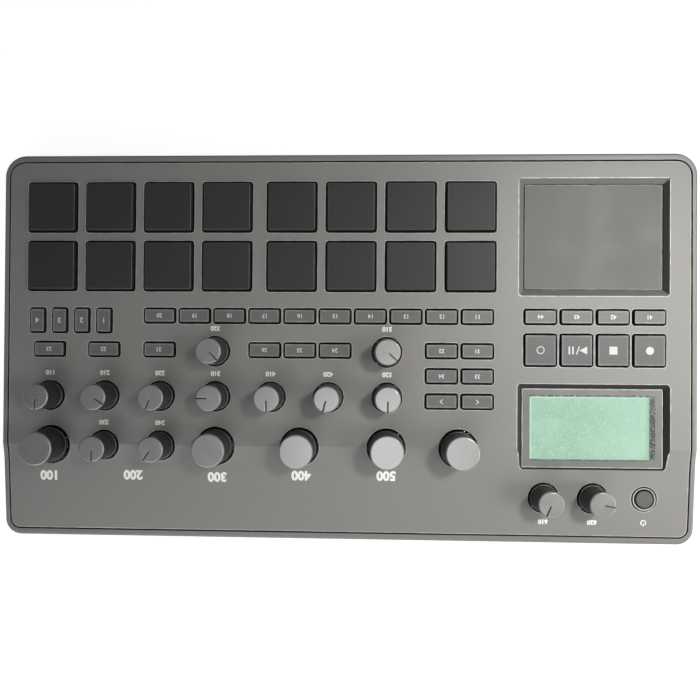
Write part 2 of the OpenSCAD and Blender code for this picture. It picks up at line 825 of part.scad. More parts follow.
module touch_plate() {
    flange = 3;
    color([0.52, 0.52, 0.5])
        on_panel()
            translate([touch_x, touch_v, 0]) {
                prism(small_rect(touch_w, touch_d, 0.7), -panel_t - 0.4, -touch_drop);
                prism(small_rect(touch_w + 2 * flange, touch_d + 2 * flange, 1),
                    -panel_t - seat - 1.2, -panel_t - seat);
            }
}
window_t = 1.5;
module display_window() {
    color([0.55, 0.7, 0.62])
        on_panel()
            translate([window_x, window_v, 0])
                bevelled_block(window_w, window_d, 0.7, -window_drop - window_t, -window_drop, 0.35);
}
module display_module() {
    glass_w = window_w - 6;
    glass_d = window_d - 4;
    low = board_top;
    high = -window_drop - window_t - seat;
    color([0.6, 0.75, 0.65])
        on_panel()
            translate([window_x, window_v, 0]) {
                prism(small_rect(glass_w + 3, glass_d + 2, 0.8), low, high - 1.1);
                prism(small_rect(glass_w, glass_d, 0.5), high - 1.1 - eps, high);
            }
}

module tact_switch(top) {
    s = 6;
    body_top = board_top + switch_body_h;
    translate([-s / 2, -s / 2, board_top]) cube([s, s, switch_body_h]);
    translate([0, 0, body_top - eps]) cylinder(r = 1.7, h = top - body_top + eps);
}
module panel_board() {
    sensor_top = carrier_low - pad_travel - press_room;
    keys = concat(small_key_places, number_places, [for (x = transport_xs) [x, transport_v]],
        [[power_x, rear_row_v]]);
    color([0.1, 0.35, 0.2])
        on_panel() {
            difference() {
                union() {
                    translate([-board_x, board_v0, board_low])
                        cube([2 * board_x, board_v1 - board_v0, board_t]);
                    translate([-board_x, board_v1 - eps, board_low])
                        cube([board_x + board_tab_x1, board_tab_v1 - board_v1 + eps, board_t]);
                }
                for (p = POSTS) translate([p[0], p[1], board_low - 1])
                    cylinder(r = post_screw_r + 0.2, h = board_t + 2);
            }
            for (p = keys) translate([p[0], p[1], 0]) tact_switch(switch_top);
            for (i = [0 : 15])
                translate([pad_place(i)[0], pad_place(i)[1], board_top])
                    cylinder(r1 = 9, r2 = 7.5, h = sensor_top - board_top);
        }
}

// Parts on the main board: place, width, depth and height.
BOARD_CHIPS = [
    [-110, 20, 22, 22, 2.4], [-110, -20, 16, 24, 1.6], [-80, 40, 12, 12, 1.4], [-140, 45, 14, 10, 8],
];
module main_board() {
    y1 = rear_face_y - wall_t - 1.5;
    x1 = board_x;
    outline_points = [
        [-x1, -60], [-62, -60], [-62, y1 - 17], [62, y1 - 17], [62, y1 - 30], [x1, y1 - 30],
        [x1, y1], [-x1, y1],
    ];
    color([0.1, 0.35, 0.2]) {
        prism(outline_points, main_board_z, main_board_top);
        for (c = BOARD_CHIPS)
            translate([c[0] - c[2] / 2, c[1] - c[3] / 2, main_board_top]) cube([c[2], c[3], c[4]]);
    }
}

// --- Sockets, feet and screws --------------------------------------------------------------

// A phone socket: a box on the board with a round collar through the rear wall.
module phone_socket(bore_r, collar_r, w, l, h, z, bore_l) {
    inside_y = rear_face_y - wall_t - 0.4;
    face = rear_face_y + jack_collar;
    difference() {
        union() {
            translate([-w / 2, inside_y - l, main_board_top]) cube([w, l, h]);
            translate([0, face, z]) rotate([90, 0, 0]) cylinder(r = collar_r, h = face - inside_y + 1);
        }
        translate([0, face + 1, z]) rotate([90, 0, 0]) cylinder(r = bore_r, h = bore_l + 1);
    }
}
module rear_sockets() {
    inside_y = rear_face_y - wall_t - 0.4;
    color([0.2, 0.2, 0.2]) {
        for (j = BIG_JACKS)
            translate([j[1], 0, 0]) phone_socket(big_jack_r, big_collar_r, 15, 24, 12.4, phone_jack_z, 22);
        for (j = SMALL_JACKS)
            translate([j[1], 0, 0])
                phone_socket(small_jack_r, small_collar_r, 8, 13, 10.8, phone_jack_z, 12);
        translate([dc_x, 0, 0]) phone_socket(dc_jack_r, dc_collar_r, 11, 13, 11, dc_jack_z, 9.5);
        translate([dc_x, rear_face_y - 0.5, dc_jack_z])
            rotate([90, 0, 0]) cylinder(r = 0.95, h = 8 + 2.4);
        translate([card_x - 14, inside_y - 26, main_board_top])
            difference() {
                cube([28, 26, card_slot_h + 1]);
                translate([14 - card_w / 2, -1, 0.5]) cube([card_w, 28, card_slot_h]);
            }
        translate([usb_x - usb_w / 2, inside_y - 6, main_board_top + seat])
            difference() {
                cube([usb_w, 6 + wall_t, usb_h]);
                translate([0.4, 1, 0.4]) cube([usb_w - 0.8, 12, usb_h - 0.8]);
            }
    }
}

module rubber_feet() {
    color([0.08, 0.08, 0.08])
        for (x = [-foot_x, foot_x], y = [-foot_y, foot_y])
            translate([x, y, 0])
                rotate_extrude()
                    polygon([
                        [0, 0], [foot_r - 0.6, 0], [foot_r, 0.6], [foot_r, foot_h + foot_recess - seat],
                        [0, foot_h + foot_recess - seat],
                    ]);
}

module screw(head_r, head_h, shank_r, length) {
    difference() {
        union() {
            cylinder(r = head_r, h = head_h);
            cylinder(r = shank_r, h = length);
        }
        for (a = [0, 90])
            rotate([0, 0, a]) translate([-head_r * 0.6, -0.35, -1]) cube([head_r * 1.2, 0.7, 1.8]);
    }
}
module screws() {
    color([0.35, 0.35, 0.36]) {
        for (p = SCREWS)
            translate([p[0], p[1], floor_z + 0.3])
                screw(screw_head_r, screw_head_h, screw_r, lug_top - floor_z - 2.5);
        on_panel()
            for (p = POSTS)
                translate([p[0], p[1], board_low - 1.4])
                    screw(post_head_r, 1.3, post_screw_r, board_drop - panel_t);
    }
}

top_panel();
upper_case();
bottom_case();
battery_door();
battery_contacts();
for (i = [0 : 15]) pad(i);
for (i = [0 : len(KNOBS) - 1]) small_knob(i);
for (i = [0 : len(DIALS) - 1]) large_dial(i);
for (i = [0 : 3]) transport_key(i);
power_key();
step_keys();
number_keys();
effect_keys();
filter_keys();
menu_keys();
touch_keys();
touch_plate();
display_window();
display_module();
bezel_rings();
panel_board();
main_board();
control_bodies();
rear_sockets();
rubber_feet();
screws();
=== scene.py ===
"""The looks of a table-top drum machine, built around its packed construction model.

Every piece is in metres, in the model's own frame: +X is the player's right, +Y points away from the player
and +Z is up.
"""

import json
import logging
import math
from collections.abc import Callable, Iterable
from dataclasses import dataclass, field, replace
from enum import Enum, IntEnum
from functools import cache

import bmesh
import bpy
from bmesh.types import BMEdge, BMesh, BMVert
from bpy.types import ID, Material, Node, NodeOutputs, NodeSocket, NodeTree, Object
from mathutils import Euler, Matrix, Vector
from mathutils.bvhtree import BVHTree

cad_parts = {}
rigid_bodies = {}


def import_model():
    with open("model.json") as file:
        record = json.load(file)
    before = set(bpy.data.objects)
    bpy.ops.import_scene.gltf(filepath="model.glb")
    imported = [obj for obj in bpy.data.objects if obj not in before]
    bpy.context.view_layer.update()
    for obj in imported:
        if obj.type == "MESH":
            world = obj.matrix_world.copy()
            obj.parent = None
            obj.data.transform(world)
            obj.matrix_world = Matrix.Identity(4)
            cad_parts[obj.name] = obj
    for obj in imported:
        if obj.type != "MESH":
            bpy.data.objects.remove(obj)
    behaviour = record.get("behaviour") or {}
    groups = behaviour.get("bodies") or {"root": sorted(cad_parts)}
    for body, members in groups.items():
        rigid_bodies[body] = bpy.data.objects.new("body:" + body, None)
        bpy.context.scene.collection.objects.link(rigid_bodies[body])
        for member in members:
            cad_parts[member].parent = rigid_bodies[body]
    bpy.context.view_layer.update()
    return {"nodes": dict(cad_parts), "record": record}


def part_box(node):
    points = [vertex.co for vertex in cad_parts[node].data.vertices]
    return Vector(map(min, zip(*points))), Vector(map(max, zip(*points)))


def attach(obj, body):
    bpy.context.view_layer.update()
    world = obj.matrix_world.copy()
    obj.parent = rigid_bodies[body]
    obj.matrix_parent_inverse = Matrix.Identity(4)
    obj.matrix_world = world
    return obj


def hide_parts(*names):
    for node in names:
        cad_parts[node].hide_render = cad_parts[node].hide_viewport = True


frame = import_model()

log = logging.getLogger("drum_machine")

MM = 0.001
CHASSIS = "chassis"
EDGE_LAYER = "edge"
Triple = tuple[float, float, float]
Pair = tuple[float, float]
Surface = tuple[NodeSocket, NodeSocket, NodeSocket]
Chooser = Callable[[Vector, Vector], int]


# --- Shader trees ---

# The size and evenness of the patches that break up rubbed edges and their painted highlight.
EDGE_PATCH_SCALE = 260.0
EDGE_PATCH_EVENNESS = 0.4
DUST: Triple = (0.42, 0.42, 0.4)
DUST_SCALE = 900.0
DRIFT_SCALE = 45.0


class Wires:
    """Adds nodes to one shader tree and joins their sockets."""

    def __init__(self, tree: NodeTree) -> None:
        """Keeps the tree that the nodes go into."""
        self.tree = tree

    def feed(self, socket: NodeSocket, value: object) -> None:
        """Links a socket to another one, or sets its constant.

        Args:
            socket: The input to fill.
            value: An output socket, a number, or a colour or vector.
        """
        if isinstance(value, NodeSocket):
            self.tree.links.new(value, socket)
        elif socket.type == "RGBA":
            socket.default_value = (*value, 1.0)
        else:
            socket.default_value = value

    def fill(self, node: Node, **inputs: object) -> None:
        """Feeds inputs of a node by name, with spaces written as underscores."""
        for key, value in inputs.items():
            self.feed(node.inputs[key.replace("_", " ")], value)

    def add(self, kind: str, settings: dict[str, object] | None = None, **inputs: object) -> Node:
        """Adds one node.

        Args:
            kind: The node's type name.
            settings: Properties of the node, such as its operation.
            **inputs: Input values or sockets by name, with spaces written as underscores.

        Returns:
            The new node.
        """
        made = self.tree.nodes.new(kind)
        for key, value in (settings or {}).items():
            setattr(made, key, value)
        self.fill(made, **inputs)
        return made

    def row(self, kind: str, settings: dict[str, object], values: Iterable[object]) -> Node:
        """Adds one node and feeds its inputs in their order.

        Args:
            kind: The node's type name.
            settings: Properties of the node, such as its operation.
            values: Input values or sockets, in the order of the node's inputs.

        Returns:
            The new node.
        """
        made = self.add(kind, settings)
        for socket, value in zip(made.inputs, values):
            self.feed(socket, value)
        return made

    def group(self, tree: NodeTree, **inputs: object) -> NodeOutputs:
        """Adds a node group and returns its outputs."""
        return self.add("ShaderNodeGroup", {"node_tree": tree}, **inputs).outputs

    def math(self, operation: str, *values: object) -> NodeSocket:
        """Adds a Math node and returns its result."""
        return self.row("ShaderNodeMath", {"operation": operation}, values).outputs[0]

    def vector(self, operation: str, *values: object) -> NodeSocket:
        """Adds a Vector Math node and returns its result."""
        made = self.row("ShaderNodeVectorMath", {"operation": operation}, values)
        return made.outputs["Value" if operation == "LENGTH" else "Vector"]

    def parts(self, vector: NodeSocket) -> NodeOutputs:
        """Splits a vector into its X, Y and Z."""
        return self.add("ShaderNodeSeparateXYZ", Vector=vector).outputs

    def noise(self, position: object, scale: object, detail: float) -> NodeSocket:
        """Adds a noise pattern and returns its value."""
        return self.add("ShaderNodeTexNoise", Vector=position, Scale=scale, Detail=detail).outputs["Fac"]

    def ramp(self, value: object, start: float, end: float) -> NodeSocket:
        """Maps a value to 0 below start and 1 above end, smoothly in between.

        Args:
            value: The value to map.
            start: Where the result leaves 0.
            end: Where the result reaches 1.

        Returns:
            The mapped value.
        """
        smooth = {"interpolation_type": "SMOOTHSTEP"}
        made = self.add("ShaderNodeMapRange", smooth, Value=value, From_Min=start, From_Max=end)
        return made.outputs["Result"]

    def mix(self, factor: object, low: object, high: object) -> NodeSocket:
        """Mixes two colours by a factor and returns the colour.

        Args:
            factor: How much of the second colour there is.
            low: The colour at factor 0.
            high: The colour at factor 1.

        Returns:
            The mixed colour.
        """
        made = self.add("ShaderNodeMix", {"data_type": "RGBA"})
        for place, value in ((0, factor), (6, low), (7, high)):
            self.feed(made.inputs[place], value)
        return made.outputs[2]

    def blend(self, factor: NodeSocket, low: NodeSocket, high: NodeSocket) -> NodeSocket:
        """Mixes two shaders by a factor and returns the shader."""
        return self.row("ShaderNodeMixShader", {}, (factor, low, high)).outputs[0]


class Effects:
    """Shader node groups that several materials share. Each is built once, when it is first asked for."""

    def start(self, name: str, inputs: Iterable[str], outputs: Iterable[str]) -> tuple[Wires, dict, dict]:
        """Makes an empty group with named sockets.

        Args:
            name: The group's name.
            inputs: The names of the inputs.
            outputs: The names of the outputs.

        Returns:
            The group's wires, its input sockets by name and its output sockets by name.
        """
        tree = bpy.data.node_groups.new(name, "ShaderNodeTree")
        for direction, labels in (("INPUT", inputs), ("OUTPUT", outputs)):
            for label in labels:
                tree.interface.new_socket(label, in_out=direction, socket_type=self.socket_type(label))
        source = tree.nodes.new("NodeGroupInput")
        sink = tree.nodes.new("NodeGroupOutput")
        return Wires(tree), dict(source.outputs.items()), dict(sink.inputs.items())

    def socket_type(self, label: str) -> str:
        """The type of socket that carries a colour, a place or size, or else a number.

        Args:
            label: The socket's name.

        Returns:
            The type's name.
        """
        if label.endswith("Colour"):
            return "NodeSocketColor"
        return "NodeSocketVector" if label in ("Position", "Centre", "Half Size") else "NodeSocketFloat"

    @cache
    def grain(self) -> NodeTree:
        """Fine grain and broad clouding: an uneven colour, an uneven roughness and a height.

        Returns:
            The node group.
        """
        inputs = [f"{pattern} {part}" for pattern in ("Grain", "Cloud") for part in ("Scale", "Spread")]
        inputs += ["Position", "Colour", "Roughness", "Roughness Spread"]
        wires, given, made = self.start("surface_grain", inputs, ("Colour", "Roughness", "Height"))
        fine = wires.noise(given["Position"], given["Grain Scale"], 3.0)
        cloud = wires.noise(given["Position"], given["Cloud Scale"], 4.0)
        fine_off = wires.math("SUBTRACT", fine, 0.5)
        cloud_off = wires.math("SUBTRACT", cloud, 0.5)
        tone = wires.math("MULTIPLY_ADD", fine_off, given["Grain Spread"], 1.0)
        tone = wires.math("MULTIPLY_ADD", cloud_off, given["Cloud Spread"], tone)
        rough = wires.math("MULTIPLY_ADD", cloud_off, given["Roughness Spread"], given["Roughness"])
        wires.feed(made["Colour"], wires.vector("MULTIPLY", given["Colour"], tone))
        wires.feed(made["Roughness"], rough)
        wires.feed(made["Height"], fine)
        return wires.tree

    @cache
    def wear(self) -> NodeTree:
        """Rubbed edges with a painted highlight: the colour turns to the pale worn and lit one on faces that
        carry the edge layer.

        Returns:
            The node group.
        """
        inputs = ("Position", "Colour", "Worn Colour", "Amount")
        wires, given, made = self.start("edge_wear_and_highlight", inputs, ("Colour",))
        edge = wires.add("ShaderNodeAttribute", {"attribute_name": EDGE_LAYER}).outputs["Fac"]
        patches = wires.ramp(wires.noise(given["Position"], EDGE_PATCH_SCALE, 3.0), 0.3, 0.7)
        broken = wires.math("MULTIPLY_ADD", patches, 1.0 - EDGE_PATCH_EVENNESS, EDGE_PATCH_EVENNESS)
        share = wires.math("MULTIPLY", wires.math("MULTIPLY", edge, broken), given["Amount"])
        wires.feed(made["Colour"], wires.mix(share, given["Colour"], given["Worn Colour"]))
        return wires.tree

    @cache
    def dust(self) -> NodeTree:
        """Fine pale specks, scattered in drifts over a surface.

        Returns:
            The node group.
        """
        wires, given, made = self.start("dust_specks", ("Position", "Colour", "Amount"), ("Colour",))
        cells = wires.add("ShaderNodeTexVoronoi", Vector=given["Position"], Scale=DUST_SCALE)
        speck = wires.math("SUBTRACT", 1.0, wires.ramp(cells.outputs["Distance"], 0.05, 0.16))
        drift = wires.ramp(wires.noise(given["Position"], DRIFT_SCALE, 3.0), 0.5, 0.72)
        share = wires.math("MULTIPLY", wires.math("MULTIPLY", speck, drift), given["Amount"])
        wires.feed(made["Colour"], wires.mix(share, given["Colour"], DUST))
        return wires.tree

    @cache
    def window(self) -> NodeTree:
        """A rectangle seen from above: 1 inside it, 0 outside, with a soft border.

        Returns:
            The node group.
        """
        inputs = ("Position", "Centre", "Half Size", "Softness")
        wires, given, made = self.start("rectangle_mask", inputs, ("Mask",))
        offset = wires.vector("ABSOLUTE", wires.vector("SUBTRACT", given["Position"], given["Centre"]))
        inside = wires.parts(wires.vector("SUBTRACT", given["Half Size"], offset))
        nearest = wires.math("MINIMUM", inside["X"], inside["Y"])
        share = wires.math("DIVIDE", nearest, given["Softness"])
        held = wires.add("ShaderNodeClamp", Value=wires.math("ADD", share, 0.5))
        wires.feed(made["Mask"], held.outputs[0])
        return wires.tree

    @cache
    def disc(self) -> NodeTree:
        """A disc round an upright axis: 1 inside its radius, 0 outside it.

        Returns:
            The node group.
        """
        wires, given, made = self.start("disc_mask", ("Position", "Centre", "Outer"), ("Mask",))
        offset = wires.vector("SUBTRACT", given["Position"], given["Centre"])
        radius = wires.vector("LENGTH", wires.vector("MULTIPLY", offset, (1.0, 1.0, 0.0)))
        wires.feed(made["Mask"], wires.math("LESS_THAN", radius, given["Outer"]))
        return wires.tree


EFFECTS = Effects()


# --- Finishes ---


@dataclass(frozen=True)
class Finish:
    """A moulded, painted or metal surface with fine grain, clouding, specks, and rubbed edges that also carry
    a painted highlight.

    Scales are per metre, so 2500 is a grain of about 0.4 mm. bump is the grain's depth in metres.
    """

    name: str
    slot: str
    colour: Triple
    roughness: float
    metallic: float = 0.0
    specular: float = 0.5
    grain_scale: float = 2500.0
    grain_spread: float = 0.1
    cloud_scale: float = 22.0
    cloud_spread: float = 0.08
    roughness_spread: float = 0.12
    bump: float = 0.00001
    # The pale colour of rounded edges and how much of it shows: partly rubbed wear, partly a painted
    # highlight where light catches the edge.
    worn: Triple = (0.4, 0.4, 0.39)
    wear: float = 0.0
    specks: float = 0.0

    def surface(self, wires: Wires, position: NodeSocket) -> Surface:
        """Adds the nodes that shape the surface.

        Args:
            wires: The material's tree.
            position: The place on the piece, in metres.

        Returns:
            The sockets for the colour, the roughness and the normal.
        """
        grain = wires.group(
            EFFECTS.grain(), Position=position, Colour=self.colour,
            Grain_Scale=self.grain_scale, Grain_Spread=self.grain_spread,
            Cloud_Scale=self.cloud_scale, Cloud_Spread=self.cloud_spread,
            Roughness=self.roughness, Roughness_Spread=self.roughness_spread,
        )
        colour = grain["Colour"]
        # Rounded edges turn paler: rubbed wear with a painted highlight.
        if self.wear:
            rubbed_and_lit = {"Colour": colour, "Worn_Colour": self.worn, "Amount": self.wear}
            colour = wires.group(EFFECTS.wear(), Position=position, **rubbed_and_lit)["Colour"]
        if self.specks:
            specked = {"Colour": colour, "Amount": self.specks}
            colour = wires.group(EFFECTS.dust(), Position=position, **specked)["Colour"]
        bump = wires.add("ShaderNodeBump", Height=grain["Height"], Distance=self.bump)
        return colour, grain["Roughness"], bump.outputs["Normal"]

    @cache
    def build(self) -> Material:
        """Makes the material, once for each finish.

        Returns:
            The material.
        """
        material = bpy.data.materials.new(self.name)
        material.use_nodes = True
        material.diffuse_color = (*self.colour, 1.0)
        wires = Wires(material.node_tree)
        shader = material.node_tree.nodes["Principled BSDF"]
        position = wires.add("ShaderNodeTexCoord").outputs["Object"]
        colour, roughness, normal = self.surface(wires, position)
        wires.fill(
            shader, Base_Color=colour, Roughness=roughness, Normal=normal,
            Metallic=self.metallic, Specular_IOR_Level=self.specular,
        )
        self.extend(wires, shader, position)
        return material

    def extend(self, wires: Wires, shader: Node, position: NodeSocket) -> None:
        """Adds what a special finish needs. A plain finish needs nothing."""


@dataclass(frozen=True)
class ClearFinish(Finish):
    """Clear plastic, which light passes through."""

    ior: float = 1.46

    def extend(self, wires: Wires, shader: Node, position: NodeSocket) -> None:
        """Lets light through the material."""
        wires.fill(shader, Transmission_Weight=1.0, IOR=self.ior)


@dataclass(frozen=True)
class ScreenFinish(Finish):
    """A liquid crystal screen: a lit, slightly cloudy field in a dark frame."""

    centre: Triple = (0.0, 0.0, 0.0)
    half: Triple = (0.0, 0.0, 0.0)
    field: Triple = (0.3, 0.48, 0.365)
    cloud: Triple = (0.336, 0.5376, 0.4088)
    rim_light: Triple = (0.6, 0.84, 0.7)
    # The pale colour of the speckles and streaks, and of the painted sheen on the player's left.
    pale: Triple = (0.52, 0.72, 0.6)
    glow: float = 1.0
    border: float = 0.0002
    field_edge: float = 0.0006
    pale_shares: Triple = (0.5, 0.22, 0.45)
    print_share: float = 0.6

    def mask(self, wires: Wires, position: NodeSocket, shrink: float, softness: float) -> NodeSocket:
        """A mask of the field, taken in by a distance.

        Args:
            wires: The material's tree.
            position: The place on the piece, in metres.
            shrink: How far the field is taken in on each side, in metres.
            softness: How wide its soft border is, in metres.

        Returns:
            The mask: 1 in the field and 0 outside it.
        """
        size = tuple(side - shrink for side in self.half)
        place = {"Position": position, "Centre": self.centre}
        return wires.group(EFFECTS.window(), **place, Half_Size=size, Softness=softness)["Mask"]

    def extend(self, wires: Wires, shader: Node, position: NodeSocket) -> None:
        """Lights the field, a little more along its edges, with a painted sheen that makes it paler towards
        the player's left.

        Args:
            wires: The material's tree.
            shader: The material's shader.
            position: The place on the piece, in metres.
        """
        whole = self.mask(wires, position, 0.0, self.border)
        inner = self.mask(wires, position, self.field_edge, 2 * self.field_edge)
        broad = wires.ramp(wires.noise(position, 75.0, 6.0), 0.35, 0.68)
        fine = wires.ramp(wires.noise(position, 1100.0, 4.0), 0.55, 0.66)
        streaks = wires.ramp(wires.noise(position, 420.0, 5.0), 0.56, 0.66)
        # Painted sheen: the field turns paler towards the player's left.
        across = wires.parts(position)["X"]
        start = self.centre[0] + 0.4 * self.half[0]
        side = wires.ramp(wires.math("MULTIPLY", across, -1.0), -start, 1.7 * self.half[0] - start)
        cloudy = wires.mix(broad, self.field, self.cloud)
        for pattern, share in zip((side, streaks, fine), self.pale_shares):
            cloudy = wires.mix(wires.math("MULTIPLY", pattern, share), cloudy, self.pale)
        lit = wires.mix(inner, self.rim_light, cloudy)
        shown = wires.mix(whole, self.colour, wires.mix(self.print_share, lit, self.colour))
        glowing = wires.mix(whole, (0.0, 0.0, 0.0), lit)
        wires.fill(shader, Emission_Color=glowing, Emission_Strength=self.glow, Base_Color=shown)


@dataclass(frozen=True)
class BorderFinish(Finish):
    """The printed border of the display window, flecked dark round the field."""

    centre: Triple = (0.0, 0.0, 0.0)
    half: Triple = (0.0, 0.0, 0.0)
    fleck: Triple = (0.02, 0.03, 0.025)
    glint: Triple = (0.42, 0.55, 0.48)
    band_middle: float = 0.0017
    band_reach: float = 0.0021
    band_share: float = 0.42
    line_middle: float = 0.0002
    line_reach: float = 0.0007
    line_share: float = 0.46

    def surface(self, wires: Wires, position: NodeSocket) -> Surface:
        """Adds a broken dark line before and behind the field, and a flecked band on the player's left.

        Args:
            wires: The material's tree.
            position: The place on the piece, in metres.

        Returns:
            The sockets for the colour, the roughness and the normal.
        """
        colour, roughness, normal = super().surface(wires, position)
        offset = wires.parts(wires.vector("SUBTRACT", position, self.centre))
        beside = wires.math("SUBTRACT", wires.math("MULTIPLY", offset["X"], -1.0), self.half[0])
        ahead = wires.math("SUBTRACT", wires.math("ABSOLUTE", offset["Y"]), self.half[1])
        across = wires.math("SUBTRACT", wires.math("ABSOLUTE", offset["X"]), self.half[0])
        near_band = self.near(wires, beside, self.band_middle, self.band_reach)
        near_line = self.near(wires, ahead, self.line_middle, self.line_reach)
        band = wires.math("MULTIPLY", near_band, wires.ramp(ahead, 0.002, -0.002))
        line = wires.math("MULTIPLY", near_line, wires.ramp(across, 0.0015, -0.001))
        shares = ((band, self.band_share), (line, self.line_share))
        most = wires.math("MAXIMUM", *[wires.math("MULTIPLY", mask, share) for mask, share in shares])
        dark = wires.ramp(wires.math("ADD", wires.noise(position, 1300.0, 5.0), most), 0.74, 0.82)
        bright = wires.ramp(wires.math("ADD", wires.noise(position, 1900.0, 4.0), most), 1.0, 1.06)
        return wires.mix(bright, wires.mix(dark, colour, self.fleck), self.glint), roughness, normal

    def near(self, wires: Wires, distance: object, middle: float, reach: float) -> NodeSocket:
        """Full where a distance equals its middle, and nothing farther from it than the reach."""
        off = wires.math("ABSOLUTE", wires.math("SUBTRACT", distance, middle))
        return wires.ramp(off, reach, 0.25 * reach)


@dataclass(frozen=True)
class DiscFinish(Finish):
    """A surface with a disc of another colour on it."""

    centre: Triple = (0.0, 0.0, 0.0)
    outer: float = 0.005
    disc: Triple = (0.5, 0.5, 0.5)

    def surface(self, wires: Wires, position: NodeSocket) -> Surface:
        """Adds the disc.

        Args:
            wires: The material's tree.
            position: The place on the piece, in metres.

        Returns:
            The sockets for the colour, the roughness and the normal.
        """
        colour, roughness, normal = super().surface(wires, position)
        mask = wires.group(EFFECTS.disc(), Position=position, Centre=self.centre, Outer=self.outer)["Mask"]
        return wires.mix(mask, colour, self.disc), roughness, normal


@dataclass(frozen=True)
class BoardFinish(Finish):
    """A circuit board: lacquer over copper tracks."""

    track: Triple = (0.03, 0.16, 0.06)

    def surface(self, wires: Wires, position: NodeSocket) -> Surface:
        """Adds the tracks under the lacquer.

        Args:
            wires: The material's tree.
            position: The place on the piece, in metres.

        Returns:
            The sockets for the colour, the roughness and the normal.
        """
        colour, roughness, normal = super().surface(wires, position)
        lines = wires.add(
            "ShaderNodeTexBrick", {"offset": 0.35, "squash": 1.6, "squash_frequency": 3},
            Vector=position, Scale=160.0, Mortar_Size=0.03, Mortar_Smooth=0.2,
        )
        return wires.mix(lines.outputs["Fac"], colour, self.track), roughness, normal


# The panel's pale edge colour is a painted highlight along its rounded edges and the rims of its openings,
# broken into patches.
PANEL = Finish(
    "panel_paint", "panel_metal", (0.205, 0.203, 0.196), 0.56, metallic=0.18, grain_scale=4200.0,
    grain_spread=0.16, cloud_scale=16.0, cloud_spread=0.1, bump=0.000012,
    worn=(0.6, 0.59, 0.56), wear=0.95, specks=0.1,
)
# Painted shade: near black on the panel's walls and underside and on the touch plate's sides, standing in for
# the shade in the gaps round the openings and along the rim.
GAP_SHADE = Finish(
    "gap_painted_shade", "panel_metal", (0.01, 0.01, 0.01), 0.7, specular=0.25, grain_scale=3000.0,
    grain_spread=0.2,
)
# Painted shade on the slopes of the two recesses: near black on all the display recess's slopes and on the
# touch recess's slope on the player's left, dark grey on its other slopes.
GASKET = replace(GAP_SHADE, name="deep_recess_painted_shade", colour=(0.022, 0.022, 0.022), roughness=0.6, specular=0.3)
RECESS = replace(
    GASKET, name="touch_recess_painted_shade", colour=(0.12, 0.119, 0.115), grain_scale=4200.0, grain_spread=0.16,
)
RIM = Finish(
    "rim_paint", "panel_metal", (0.18, 0.178, 0.172), 0.5, metallic=0.1, grain_scale=3800.0,
    grain_spread=0.14, cloud_scale=20.0, bump=0.000012, worn=(0.36, 0.355, 0.345), wear=0.3, specks=0.1,
)
CASE = Finish(
    "case_moulding", "case_plastic", (0.032, 0.032, 0.033), 0.58, grain_scale=1700.0, grain_spread=0.2,
    cloud_spread=0.15, bump=0.00004, worn=(0.09, 0.09, 0.09), wear=0.35, specks=0.25,
)
PAD = Finish(
    "pad_silicone", "pad_rubber", (0.022, 0.0255, 0.025), 0.58, specular=0.42, grain_scale=3000.0,
    grain_spread=0.2, cloud_scale=38.0, cloud_spread=0.2, bump=0.000014,
    worn=(0.12, 0.125, 0.122), wear=0.55, specks=0.08,
)
# Painted shade: near black on the pads' flanks, standing in for the shade in the gaps round them.
PAD_FLANK_SHADE = Finish("pad_flank_painted_shade", "pad_rubber", (0.008, 0.008, 0.008), 0.75, specular=0.2, grain_spread=0.2)
# The keys' pale edge colour is a painted highlight along their rounded edges.
KEY = Finish(
    "key_satin", "key_plastic", (0.113, 0.115, 0.113), 0.45, grain_scale=2600.0, grain_spread=0.12,
    bump=0.000012, worn=(0.4, 0.405, 0.4), wear=0.9, specks=0.08,
)
TRANSPORT_KEY = replace(
    KEY, name="transport_satin", colour=(0.078, 0.08, 0.079), worn=(0.36, 0.365, 0.36),
)
# Painted shade: near black on the keys' sides and below them, standing in for the shade in the gaps round the
# keys.
KEY_SIDE_SHADE = Finish(
    "key_side_painted_shade", "key_plastic", (0.009, 0.009, 0.009), 0.7, specular=0.25, grain_scale=2600.0,
    grain_spread=0.15,
)
# The knobs' edge colour is a faint painted highlight line along their rounded edges.
KNOB_SIDE = Finish(
    "knob_side", "knob_cap", (0.019, 0.019, 0.02), 0.42, grain_scale=2200.0, grain_spread=0.2,
    bump=0.000014, worn=(0.16, 0.16, 0.155), wear=0.8, specks=0.12,
)
KNOB_FACE = Finish(
    "knob_face", "knob_cap", (0.47, 0.47, 0.46), 0.3, metallic=0.85, grain_scale=1900.0, grain_spread=0.3,
    cloud_scale=160.0, cloud_spread=0.12, bump=0.000016, specks=0.1,
)
KNOB_RIM = Finish(
    "knob_rim", "knob_cap", (0.24, 0.24, 0.235), 0.42, metallic=0.2, grain_scale=2200.0, grain_spread=0.2,
)
# The film's pale edge colour is a painted highlight along the plate's rounded edge.
TOUCH = Finish(
    "touch_film", "touch_surface", (0.107, 0.11, 0.1), 0.52, specular=0.35, grain_scale=3200.0,
    cloud_scale=46.0, cloud_spread=0.14, roughness_spread=0.3, bump=0.000006,
    worn=(0.5, 0.5, 0.48), wear=0.9, specks=0.05,
)
RUBBER_FOOT = Finish(
    "foot_black", "foot_rubber", (0.024, 0.024, 0.025), 0.72, grain_scale=1500.0, grain_spread=0.3,
    bump=0.00004, worn=(0.07, 0.07, 0.07), wear=0.4, specks=0.3,
)
SOCKET = Finish(
    "socket_plastic", "socket_black", (0.02, 0.02, 0.021), 0.36, grain_spread=0.12,
    worn=(0.07, 0.07, 0.07), wear=0.5, specks=0.15,
)
SCREW = Finish(
    "screw_black", "screw_steel", (0.13, 0.13, 0.135), 0.34, metallic=1.0, grain_scale=5000.0,
    grain_spread=0.2, worn=(0.5, 0.5, 0.5), wear=0.8,
)
